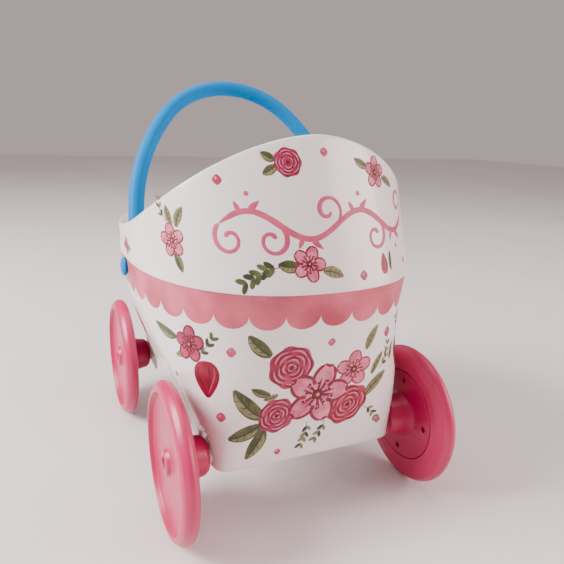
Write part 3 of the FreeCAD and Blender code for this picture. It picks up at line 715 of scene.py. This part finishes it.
# ---------------------------------------------------------------- painted ornament

class Surface:
    """Where the point U along the shell and z up lies on the tub or the hood."""

    step = 3.0
    turns = 720

    def __init__(self):
        self.runs = {}

    def size(self, z):
        return hood_size(z) if z > LIP else tub_size(z)

    def run(self, level):
        """Distance from the middle of the hood end to each angle, at one level."""
        if level not in self.runs:
            size = self.size(level * self.step)
            points = [on_section(size, 0, math.pi * i / self.turns, 0) for i in range(self.turns + 1)]
            lengths = [0.0]
            for before, after in zip(points, points[1:]):
                lengths.append(lengths[-1] + (after - before).length)
            self.runs[level] = lengths
        return self.runs[level]

    def angle(self, u, z):
        level = math.floor(z / self.step)
        share = z / self.step - level
        low = self.angle_in(self.run(level), abs(u))
        high = self.angle_in(self.run(level + 1), abs(u))
        return math.copysign(mix(low, high, share), u)

    def angle_in(self, lengths, distance):
        low, high = 0, self.turns
        while high - low > 1:
            middle = (low + high) // 2
            if lengths[middle] <= distance:
                low = middle
            else:
                high = middle
        share = (distance - lengths[low]) / (lengths[high] - lengths[low])
        return math.pi * (low + share) / self.turns

    def half_round(self, z):
        return self.run(math.floor(z / self.step))[-1]

    def bare(self, u, z):
        return on_section(self.size(z), 0, self.angle(u, z), z)

    def at(self, u, z, lift):
        here = self.bare(u, z)
        sideways = self.bare(u + 0.5, z) - self.bare(u - 0.5, z)
        upwards = self.bare(u, z + 0.5) - self.bare(u, z - 0.5)
        return here + sideways.cross(upwards).normalized() * lift


surface = Surface()
coats = {}
SUNK = -0.12
COAT = 0.07


class Coat:
    """All the patches of one paint colour."""

    def __init__(self):
        self.points = []
        self.faces = []

    def add(self, points, faces):
        start = len(self.points)
        self.points.extend(points)
        self.faces.extend(tuple(start + i for i in face) for face in faces)


def coat(colour):
    return coats.setdefault(colour, Coat())


def smooth_path(corners, spacing):
    """A Catmull-Rom curve through the corners, sampled evenly enough to bend round the shell."""
    points = [Vector(corner) for corner in corners]
    padded = [points[0] * 2 - points[1]] + points + [points[-1] * 2 - points[-2]]
    path = []
    for a, b, c, d in zip(padded, padded[1:], padded[2:], padded[3:]):
        parts = max(2, math.ceil((c - b).length / spacing))
        for part in range(parts):
            t = part / parts
            path.append(0.5 * (2 * b + (c - a) * t + (2 * a - 5 * b + 4 * c - d) * t ** 2
                               + (3 * b - a - 3 * c + d) * t ** 3))
    return path + [points[-1]]


def stroke(colour, corners, width, layer, taper=(0.0, 0.0), spacing=1.6):
    """A brush stroke: width is a number, or a function of the share of the way along."""
    path = smooth_path(corners, spacing)
    across = (-1.0, -0.82, -0.3, 0.3, 0.82, 1.0)
    points = []
    for i, point in enumerate(path):
        share = i / (len(path) - 1)
        along = (path[min(i + 1, len(path) - 1)] - path[max(i - 1, 0)]).normalized()
        normal = Vector((-along.y, along.x))
        half = (width(share) if callable(width) else width) / 2
        if taper[0]:
            half *= min(1.0, share / taper[0] + 0.12) ** 0.7
        if taper[1]:
            half *= min(1.0, (1 - share) / taper[1] + 0.12) ** 0.7
        at_end = i in (0, len(path) - 1)
        for side in across:
            spot = point + normal * side * half
            sunk = abs(side) == 1.0 or at_end
            points.append(surface.at(spot.x, spot.y, SUNK if sunk else layer * COAT))
    coat(colour).add(points, grid_faces(len(path), len(across), wrap_columns=False))


def blob(colour, centre, radius, layer, lobes=0, depth=0.0, stretch=1.0, turn=0.0, segments=24):
    """A rounded patch: an ellipse with shallow lobes round its edge."""
    rings = (0.0, 0.35, 0.7, 0.93, 1.0)
    points = []
    for ring in rings:
        for j in range(segments):
            angle = 2 * math.pi * j / segments
            reach = ring * radius * (1 + depth * math.cos(lobes * angle))
            spot = Vector((reach * math.cos(angle) * stretch, reach * math.sin(angle)))
            spot = Vector(centre) + rotated(spot, turn)
            points.append(surface.at(spot.x, spot.y, SUNK if ring == 1.0 else layer * COAT))
    coat(colour).add(points, grid_faces(len(rings), segments))


def rotated(spot, turn):
    return Vector((spot.x * math.cos(turn) - spot.y * math.sin(turn),
                   spot.x * math.sin(turn) + spot.y * math.cos(turn)))


def petal_edge(length, width, share):
    """Half width of a petal at a share of its length: narrow at the heart, broad near the tip."""
    return width / 2 * math.sin(math.pi * share ** 0.72) ** 0.62 * (0.62 + 0.38 * share)


def petal(centre, turn, start, length, width, layer, fill, edge):
    """One petal with a darker broken outline and two veins."""
    def place(along, across):
        return Vector(centre) + rotated(Vector((start + along, across)), turn)

    stroke(fill, [place(length * t / 4, 0) for t in range(5)],
           lambda t: max(0.3, 2 * petal_edge(length, width, t)), layer, spacing=length / 14)
    for side in (-1, 1):
        outline = [place(length * t, side * petal_edge(length, width, t) * 0.97)
                   for t in (0.12, 0.3, 0.5, 0.68, 0.84, 0.95)]
        stroke(edge, outline, length * 0.115, layer + 1.4, (0.25, 0.2), spacing=length / 12)
    notch = [place(length * t, width * b) for t, b in ((0.97, -0.16), (0.9, 0.0), (0.97, 0.16))]
    stroke(edge, notch, length * 0.1, layer + 1.4, (0.3, 0.3), spacing=length / 12)
    for side in (-0.35, 0.35):
        vein = [place(length * t, side * width * (0.12 + 0.3 * t)) for t in (0.04, 0.25, 0.5)]
        stroke(edge, vein, length * 0.075, layer + 1.6, (0.0, 0.7), spacing=length / 12)


def five_petals(centre, reach, layer, turn=0.0, fill="petal", edge="petal_edge", squeeze=1.0):
    """An open five-petal flower with a dark heart and fine stamens."""
    for i in range(5):
        angle = turn + 2 * math.pi * i / 5
        size = reach * (1 - (1 - squeeze) * abs(math.cos(angle)))
        petal(centre, angle, reach * 0.12, size * 0.86, reach * 0.85, layer + 0.3 * (i % 2), fill, edge)
    for i in range(10):
        angle = turn + 2 * math.pi * (i + 0.5) / 10
        reach_out = reach * (0.36 + 0.1 * (i % 2))
        tip = Vector(centre) + rotated(Vector((reach_out, 0)), angle)
        root = Vector(centre) + rotated(Vector((reach * 0.1, 0)), angle)
        stroke("heart", [root, tip], reach * 0.045, layer + 3, spacing=reach / 10)
        blob("heart", tip, reach * 0.045, layer + 3.2, segments=10)
    blob("heart", centre, reach * 0.19, layer + 3.6, 5, 0.12, segments=20)
    blob("gold", centre, reach * 0.06, layer + 4.4, segments=12)


def rose(centre, radius, layer, fill="rose", dark="rose_dark", light="rose_light", turn=0.0, stretch=1.0,
         tilt=0.0, rings=4):
    """A cabbage rose seen from above: a scalloped patch with crescents that close on its heart."""
    draws = random.Random(round(centre[0] * 7 + centre[1]))
    blob(fill, centre, radius, layer, 7, 0.045, stretch, tilt, 42)
    for ring in range(rings):
        middle = radius * (0.9 - 0.21 * ring)
        count = 5 - min(ring, 2)
        for i in range(count):
            start = turn + ring * 0.9 + 2 * math.pi * i / count + draws.uniform(-0.12, 0.12)
            sweep = 2 * math.pi / count * draws.uniform(0.82, 0.98)
            for tone, inset, weight in ((light, 0.1, 0.08), (dark, 0.0, 0.11)):
                arc = []
                for step in range(6):
                    angle = start + sweep * step / 5
                    bow = middle - radius * inset - radius * 0.07 * abs(step - 2.5) / 2.5
                    spot = Vector((bow * math.cos(angle) * stretch, bow * math.sin(angle)))
                    arc.append(Vector(centre) + rotated(spot, tilt))
                stroke(tone, arc, radius * weight, layer + 1.5 + 0.4 * ring, (0.45, 0.45), radius / 10)
    blob("heart", centre, radius * 0.12, layer + 4, 3, 0.2, stretch, tilt, 18)


def leaf(tip, root, width, colour="leaf"):
    """A pointed leaf with one lighter side, a midrib and side veins."""
    root = Vector(root)
    tip = Vector(tip)
    along = tip - root
    normal = Vector((-along.y, along.x)).normalized()
    bend = normal * along.length * 0.06
    spine = [root, root + along * 0.35 + bend, root + along * 0.7 + bend * 0.8, tip]
    fine = along.length / 14
    stroke(colour, spine, lambda t: max(0.25, width * math.sin(math.pi * t ** 0.85) ** 0.8), 1, spacing=fine)
    side = [point + normal * width * 0.2 for point in spine[1:3]]
    stroke("leaf_light", [spine[0].lerp(side[0], 0.4)] + side + [side[1].lerp(tip, 0.7)],
           lambda t: width * 0.34 * math.sin(math.pi * min(max(t, 0.03), 0.97)), 2, spacing=fine)
    midrib = [root.lerp(tip, 0.02)] + spine[1:3] + [root.lerp(tip, 0.94)]
    stroke("leaf_dark", midrib, width * 0.09, 3, (0.1, 0.6), fine)
    for t in (0.3, 0.5, 0.7):
        base = root + along * t + bend * 0.9
        for sign in (-1, 1):
            out = base + along * 0.13 + normal * sign * width * 0.3
            vein = [base, base.lerp(out, 0.5) + normal * sign * width * 0.04, out]
            stroke("leaf_dark", vein, width * 0.055, 3, (0.1, 0.7), fine)


def sprig(points, colour="leaf", size=2.5):
    """A thin stem with small leaves in pairs that point up it."""
    stroke("leaf_dark", points, 0.8, 1, (0.1, 0.5))
    path = smooth_path(points, 2.0)
    pairs = max(2, int(sum((b - a).length for a, b in zip(path, path[1:])) / 6.5))
    for i in range(1, pairs + 1):
        index = round(i * (len(path) - 1) / pairs)
        at = path[index]
        along = (at - path[max(index - 1, 0)]).normalized()
        normal = Vector((-along.y, along.x))
        for sign in (-1, 1):
            forward = along * 0.8 + normal * sign * 0.6
            turn = math.atan2(forward.y, forward.x)
            tone = colour if (i + sign) % 3 else "leaf_dark"
            blob(tone, at + forward * size * 1.5, size * 0.85, 2, 2, 0.1, 1.75, turn, 16)


def floret(centre, radius, colour="bud_pink"):
    """A loose dab with four lobes."""
    blob(colour, centre, radius, 1, 4, 0.07)
    dab = (centre[0] - radius * 0.2, centre[1] + radius * 0.25)
    blob("rose_light", dab, radius * 0.3, 2.2, segments=12)


def bud(tip, root, width, layer, colour="crimson", dark="heart"):
    """A closed bud: a drop with folded petals."""
    root = Vector(root)
    tip = Vector(tip)
    along = tip - root
    normal = Vector((-along.y, along.x)).normalized()
    fine = along.length / 16
    stroke(colour, [root.lerp(tip, t) for t in (0, 0.33, 0.66, 1)],
           lambda t: max(0.3, width * math.sin(math.pi * t ** 0.7) ** 0.75), layer, spacing=fine)
    for sign, tone in ((-1, dark), (1, "rose"), (0.35, dark)):
        fold = [root.lerp(tip, t) + normal * sign * width * b for t, b in
                ((0.15, 0.28), (0.4, 0.3), (0.7, 0.14), (0.9, 0.0))]
        stroke(tone, fold, width * 0.08, layer + 1.2, (0.3, 0.5), fine)


def flourish(points, thin, thick):
    """A pen-like scroll line: broad where it runs down, fine where it climbs or turns back."""
    path = smooth_path(points, 1.2)
    weights = []
    for i in range(len(path)):
        along = (path[min(i + 1, len(path) - 1)] - path[max(i - 1, 0)]).normalized()
        weights.append(thin + (thick - thin) * max(0.0, -along.y) ** 1.3)
    softened = []
    for i in range(len(path)):
        nearby = weights[max(i - 3, 0):i + 4]
        softened.append(sum(nearby) / len(nearby))

    def width(share):
        return softened[round(share * (len(softened) - 1))]

    stroke("scroll", path, width, 1, (0.06, 0.06), 1.2)


def curl(centre, radius, start, sweep, shrink=0.2, steps=26):
    """Points of a spiral that tightens as it turns."""
    points = []
    for step in range(steps + 1):
        share = step / steps
        angle = start + sweep * share
        reach = radius * (1 - (1 - shrink) * share)
        points.append((centre[0] + reach * math.cos(angle), centre[1] + reach * math.sin(angle)))
    return points


# ---------------------------------------------------------------- where the ornament goes

BAND_CUSP = 219.0
BAND_DROP = 13.0
BAND_START = -10.0
SCALLOP = 32.2


def paint_band():
    """The band under the lip, with a scalloped lower edge, all the way round but for the pivots."""
    half_round = surface.half_round(LIP - 8)
    count = round(2 * half_round / SCALLOP)
    pitch = 2 * half_round / count
    parts = 18
    shares = [step / 12 for step in range(12)] + [0.96, 0.985, 1.0]
    points = []
    for share in shares:
        for j in range(count * parts):
            across = -math.cos(math.pi * (j % parts) / parts)
            u = pitch * (j // parts + 0.5 + across / 2) + BAND_START
            u = (u + half_round) % (2 * half_round) - half_round
            low = BAND_CUSP - BAND_DROP * max(0.0, 1 - across ** 2) ** 0.5
            z = mix(LIP - 0.3, low, share)
            scale = surface.half_round(z) / half_round
            u = max(-0.9999, min(0.9999, u / half_round)) * half_round * scale
            points.append(surface.at(u, z, SUNK if share == 1.0 else COAT * 1.2))
    pivot = Vector((PIVOT_SETBACK, PIVOT_HEIGHT))
    faces = [face for face in grid_faces(len(shares), count * parts)
             if min((points[i].yz - pivot).length for i in face) > PIVOT_BORE + 0.3]
    coat("band").add(points, faces)


def paint_tub_front():
    leaf((-73, 202), (-50, 181), 15)
    leaf((-84, 151), (-52, 118), 18)
    leaf((-88, 101), (-55, 114), 17)
    leaf((-70, 76), (-53, 109), 17)
    leaf((-68, 151), (-49, 143), 9)
    leaf((-57, 139), (-42, 143), 7, "leaf_pale")
    leaf((60, 199), (46, 174), 12, "leaf_pale")
    leaf((77, 147), (50, 122), 13, "leaf_pale")
    leaf((72, 168), (56, 146), 9, "leaf_pale")
    sprig([(-10, 108), (-9, 96), (-13, 82)], "leaf_pale", 2.4)
    sprig([(10, 106), (8, 97), (2, 86)], "leaf_pale", 2.4)
    sprig([(52, 112), (61, 106), (68, 97)], "leaf_pale", 2.2)
    sprig([(66, 150), (76, 160), (80, 172)], "leaf_pale", 2.2)
    rose((-32, 169), 22, 2, turn=0.6)
    rose((-42, 120), 19, 2, "rose_deep", turn=1.7, tilt=0.2)
    five_petals((34, 157), 21, 2, 0.3, "rose_light", "rose")
    rose((33, 118), 19.5, 3, "rose_red", "crimson", "rose_light", 0.2, 1.22, 0.8)
    five_petals((-2, 136), 34, 6, 1.3)
    for spot in ((-87, 184), (-94, 123)):
        floret(spot, 4.6)
    floret((5, 190), 4.0)
    floret((-37, 78), 3.4)
    floret((73, 91), 3.8)


def paint_tub_corners():
    """The small cluster on the left corner, and a matching one round the right corner."""
    for side in (-1, 1):
        def at(u, z, side=side):
            return (u * side, z)

        leaf(at(183, 193), at(145, 187), 13)
        leaf(at(150, 168), at(132, 178), 8, "leaf_pale")
        sprig([at(121, 174), at(113, 182), at(106, 193)])
        bud(at(107, 138), at(112, 173), 30, 2)
        five_petals(at(130, 184), 19.5, 3, 0.9 * side, "rose", "heart", 0.9)
        floret(at(155, 146), 3.2)
    floret((78, 186), 5.6, "rose")
    leaf((94, 172), (84, 155), 8, "leaf_pale")


def paint_tub_sides_and_back():
    """Posies between the wheels on both sides, and a large one at the pusher's end."""
    half_round = surface.half_round(160.0)
    quarter = half_round / 2
    for side in (-1, 1):
        def at(u, z, side=side):
            return ((quarter + u) * side, z)

        leaf(at(28, 176), at(12, 166), 11)
        leaf(at(56, 178), at(40, 167), 11)
        leaf(at(30, 140), at(16, 150), 11)
        leaf(at(60, 146), at(42, 152), 11, "leaf_pale")
        rose(at(20, 160), 14, 2, turn=0.4)
        rose(at(44, 160), 12, 2, "rose_red", "crimson", "rose_light", 0.9)
        five_petals(at(33, 149), 16, 4, 0.5)
        for u, z in ((74, 172), (34, 188), (68, 130)):
            floret(at(u, z), 3.2)

    def behind(u, z):
        return (u + half_round if u <= 0 else u - half_round, z)

    for u, z, colour in ((-30, 158, "leaf"), (34, 160, "leaf_pale")):
        leaf(behind(u * 1.9, z + 18), behind(u, z), 12, colour)
        leaf(behind(u * 1.9, z - 20), behind(u, z - 6), 12, colour)
    for side, tone in ((-1, "rose"), (1, "rose_red")):
        rose(behind(27 * side, 152), 17, 2, tone, "rose_dark", "rose_light", 0.5 * side)
        sprig([behind(44 * side, 166), behind(60 * side, 176), behind(76 * side, 174)])
        for u, z in ((88, 150), (70, 196), (52, 120)):
            floret(behind(u * side, z), 3.2)
    five_petals(behind(0.0, 164), 15, 3, 1.2)
    five_petals(behind(0.0, 134), 13, 3, 0.4, "rose_light", "rose")


def paint_hood():
    leaf((-150, 306), (-144, 288), 9, "leaf_pale")
    leaf((-130, 306), (-140, 287), 10, "leaf_pale")
    leaf((-137, 250), (-145, 266), 10)
    sprig([(-150, 290), (-157, 299), (-158, 309)], "leaf_pale", 1.8)
    five_petals((-146, 276), 15.5, 2, 0.5)
    leaf((-55, 336), (-42, 344), 9)
    leaf((-55, 354), (-42, 348), 9)
    rose((-32, 346), 12.5, 2, "rose_deep", rings=3)
    floret((2, 355), 3.8)
    floret((-94, 330), 4.4, "rose")
    leaf((34, 350), (52, 342), 9)
    leaf((93, 322), (72, 332), 9, "leaf_pale")
    five_petals((62, 337), 15.5, 2, 0.2)
    leaf((-50, 264), (-30, 263), 12)
    leaf((10, 252), (-11, 258), 11, "leaf_pale")
    sprig([(-46, 262), (-60, 259), (-77, 249)], "leaf", 3.2)
    five_petals((-22, 264), 16, 2, 1.2)
    floret((31, 251), 4.2, "rose")
    bud((59, 268), (60, 248), 12, 1, "rose", "rose_dark")
    leaf((71, 268), (70, 250), 6)
    floret((104, 254), 3.2)


WAVE_START = -96.0
WAVE_LENGTH = 52.0
WAVE_COUNT = 4
WAVE_MIDDLE = 295.0
WAVE_SWING = 11.0
TENDRIL = (8.0, 12.0)


def frond(root, tip, width):
    """A drop-shaped leaf of the vine, in the vine's own colour."""
    root, tip = Vector(root), Vector(tip)
    stroke("scroll", [root.lerp(tip, t) for t in (0, 0.35, 0.7, 1)],
           lambda t: max(0.5, width * math.sin(math.pi * max(t, 0.02) ** 0.7)), 1, spacing=1.2)


def paint_scroll():
    """A running vine across the hood, with a spiral tendril in the hollow of every wave."""
    def stem(u):
        return (u, WAVE_MIDDLE + WAVE_SWING * math.sin(math.pi * (u - WAVE_START) / WAVE_LENGTH))

    steps = 13 * WAVE_COUNT
    span = WAVE_LENGTH * WAVE_COUNT
    flourish([stem(WAVE_START + span * i / steps) for i in range(steps + 1)], 5.4, 7.0)
    radius = math.hypot(*TENDRIL)
    lean = math.atan2(TENDRIL[1], TENDRIL[0])
    turn = 6.9
    first = (WAVE_START + TENDRIL[0], WAVE_MIDDLE - TENDRIL[1])
    flourish(curl(first, radius, math.pi - lean, turn), 3.6, 5.2)
    for wave in range(WAVE_COUNT):
        side = 1 if wave % 2 == 0 else -1
        root = WAVE_START + WAVE_LENGTH * (wave + 1)
        centre = (root - TENDRIL[0], WAVE_MIDDLE - TENDRIL[1] * side)
        flourish(curl(centre, radius, lean * side, -turn * side), 3.6, 5.2)
        crest = root - WAVE_LENGTH / 2
        top = stem(crest)
        frond(top, (top[0] + 11, top[1] + 9 * side), 6.0)
        frond(stem(crest - 7), (top[0] - 12, top[1] + 8 * side), 5.0)
        blob("scroll", (top[0], top[1] + 14 * side), 2.3, 1, segments=16)


def paint_hood_sides():
    """Small posies that carry the ornament round the hood's flanks to the pusher's end."""
    half_round = surface.half_round(254.0)
    for side in (-1, 1):
        for share, kind in ((0.47, 0), (0.60, 1), (0.74, 0), (0.88, 1)):
            u = half_round * share * side
            z = 255.0
            if kind:
                leaf((u + 15, z + 4), (u + 6, z + 1), 6)
                leaf((u - 15, z + 4), (u - 6, z + 1), 6, "leaf_pale")
                rose((u, z), 8.5, 2, "rose_deep", rings=3)
            else:
                leaf((u + 16, z - 3), (u + 7, z), 6, "leaf_pale")
                leaf((u - 16, z - 3), (u - 7, z), 6)
                five_petals((u, z), 9.5, 2, 0.7)
            floret((u + 30 * side, z), 2.4)


def make_coats():
    looks = {
        "band": ((0.44, 0.052, 0.095), (0.66, 0.135, 0.19), 22.0),
        "scroll": ((0.46, 0.055, 0.125), (0.57, 0.095, 0.18), 60.0),
        "petal": ((0.54, 0.10, 0.18), (0.74, 0.26, 0.35), 90.0),
        "petal_edge": ((0.17, 0.005, 0.024), (0.27, 0.012, 0.05), 90.0),
        "rose": ((0.29, 0.014, 0.055), (0.44, 0.042, 0.108), 70.0),
        "rose_deep": ((0.28, 0.014, 0.06), (0.42, 0.038, 0.11), 70.0),
        "rose_red": ((0.32, 0.010, 0.045), (0.48, 0.038, 0.09), 70.0),
        "rose_light": ((0.56, 0.13, 0.21), (0.70, 0.24, 0.33), 90.0),
        "rose_dark": ((0.15, 0.005, 0.022), (0.23, 0.012, 0.045), 90.0),
        "crimson": ((0.15, 0.001, 0.014), (0.26, 0.004, 0.032), 70.0),
        "heart": ((0.10, 0.003, 0.012), (0.16, 0.007, 0.022), 90.0),
        "gold": ((0.55, 0.24, 0.06), (0.66, 0.35, 0.12), 200.0),
        "bud_pink": ((0.42, 0.04, 0.10), (0.55, 0.085, 0.165), 120.0),
        "leaf": ((0.05, 0.062, 0.021), (0.108, 0.12, 0.044), 80.0),
        "leaf_pale": ((0.16, 0.155, 0.07), (0.26, 0.24, 0.12), 80.0),
        "leaf_light": ((0.18, 0.17, 0.07), (0.27, 0.25, 0.115), 80.0),
        "leaf_dark": ((0.034, 0.038, 0.017), (0.056, 0.06, 0.026), 80.0),
    }
    for colour, patches in coats.items():
        dark, light, streak = looks[colour]
        piece = build_mesh("paint_" + colour, patches.points, patches.faces, 80)
        finish_piece(piece, "chassis", "white_shell", brush_paint("paint_" + colour, dark, light, streak))


# ---------------------------------------------------------------- build the object

finish_piece(make_tub(), "chassis", "white_shell", WHITE, "tub")
finish_piece(make_hood(), "chassis", "white_shell", WHITE, "hood")
for side_name, side in SIDES:
    pivot_boss = make_boss("pivot_boss_" + side_name, PIVOT_BOSS_START, PIVOT_BOSS_END, PIVOT_BOSS_RADIUS,
                           PIVOT_BORE, (0, PIVOT_SETBACK, PIVOT_HEIGHT), side)
    finish_piece(pivot_boss, "chassis", "white_shell", WHITE)
    for end_name, end in ENDS:
        axle_boss = make_boss("axle_boss_%s_%s" % (end_name, side_name), AXLE_BOSS_END - AXLE_BOSS_DEPTH,
                              AXLE_BOSS_END, AXLE_BOSS_RADIUS, AXLE_BORE,
                              (0, AXLE_SETBACK * end, AXLE_HEIGHT), side)
        finish_piece(axle_boss, "chassis", "white_shell", WHITE)

for end_name, end in ENDS:
    for side_name, side in SIDES:
        corner = end_name + "_" + side_name
        disc_low, disc_high = box_mm("wheel_disc_" + corner)
        boss_end = min(abs(disc_low.x), abs(disc_high.x))
        centre = Vector((0, AXLE_SETBACK * end, AXLE_HEIGHT))
        shell = make_wheel_shell("wheel_" + corner, centre, side)
        finish_piece(shell, "wheel_" + corner, "wheel_pink", PINK, "wheel_shell_" + corner)
        disc = make_wheel_disc("wheel_plate_" + corner, centre, side, WHEEL_INNER - boss_end)
        # The inner plate takes the darker pink, which is painted shade for the shaded inner side of the
        # wheel.
        finish_piece(disc, "wheel_" + corner, "wheel_pink", PINK_PAINTED_SHADE, "wheel_disc_" + corner)

finish_piece(make_handle(), "handle", "handle_blue", BLUE, "handle")
for side_name, side in SIDES:
    plug = make_plug("pivot_cap_" + side_name, side)
    finish_piece(plug, "handle", "handle_blue", BLUE, "pivot_plug_" + side_name)

paint_band()
paint_tub_front()
paint_tub_corners()
paint_tub_sides_and_back()
paint_hood()
paint_scroll()
paint_hood_sides()
make_coats()

for name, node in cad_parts.items():
    if name.startswith("axle_washer"):
        material = NYLON
    elif name.endswith("_axle") or name.startswith("end_nut"):
        material = STEEL
    elif "screw" in name:
        material = DARK_STEEL
    else:
        continue
    node.data.materials.clear()
    node.data.materials.append(material)


# ---------------------------------------------------------------- floor, light and camera

def make_floor():
    """A pale table, twelve metres across, in half-metre squares."""
    points = [Vector((x * 500.0, y * 500.0, 0)) for y in range(-12, 13) for x in range(-12, 13)]
    floor = build_mesh("floor", points, grid_faces(25, 25, wrap_columns=False))
    look = Look("pale_table")
    floor.data.materials.append(look.finish({
        "Base Color": look.two_tone(look.noise(1.3, 4.0), (0.73, 0.70, 0.69), (0.79, 0.765, 0.755)),
        "Roughness": look.between(look.noise(30.0, 4.0), 0.38, 0.5),
    }))


def area_light(name, place, target, size, power, colour):
    data = bpy.data.lights.new(name, "AREA")
    data.shape = "RECTANGLE"
    data.size, data.size_y = size
    data.energy = power
    data.color = colour
    lamp = add_object(name, data)
    lamp.location = place
    lamp.rotation_euler = (Vector(target) - Vector(place)).to_track_quat("-Z", "Y").to_euler()


make_floor()
area_light("window", (-1.9, 0.35, 1.5), (0, 0, 0.2), (1.2, 1.2), 125.0, (1.0, 0.94, 0.935))
area_light("front_fill", (2.2, -1.4, 1.1), (0, 0, 0.2), (2.0, 1.6), 78.0, (1.0, 0.78, 0.76))
area_light("top", (-0.1, 0.2, 2.6), (0, 0, 0.2), (2.0, 2.0), 30.0, (1.0, 0.95, 0.94))

world = bpy.data.worlds.new("room")
bpy.context.scene.world = world
world.use_nodes = True
room = next(node for node in world.node_tree.nodes if node.type == "BACKGROUND")
room.inputs["Color"].default_value = (0.86, 0.72, 0.71, 1)
room.inputs["Strength"].default_value = 0.56

CAMERA_PLACE = Vector((-0.2380, -0.5870, 0.3748))
YAW, PITCH, ROLL = 0.4352, 0.2678, 0.0347
camera_data = bpy.data.cameras.new("camera")
camera_data.sensor_width = 36.0
camera_data.lens = 36.15
camera = add_object("camera", camera_data)
bpy.context.scene.camera = camera
forward = Vector((math.sin(YAW) * math.cos(PITCH), math.cos(YAW) * math.cos(PITCH), -math.sin(PITCH)))
level_right = Vector((math.cos(YAW), -math.sin(YAW), 0))
level_up = level_right.cross(forward)
right = level_right * math.cos(ROLL) + level_up * math.sin(ROLL)
up = level_up * math.cos(ROLL) - level_right * math.sin(ROLL)
turned = Matrix((right, up, -forward)).transposed().to_4x4()
camera.matrix_world = Matrix.Translation(CAMERA_PLACE) @ turned

bpy.context.view_layer.update()
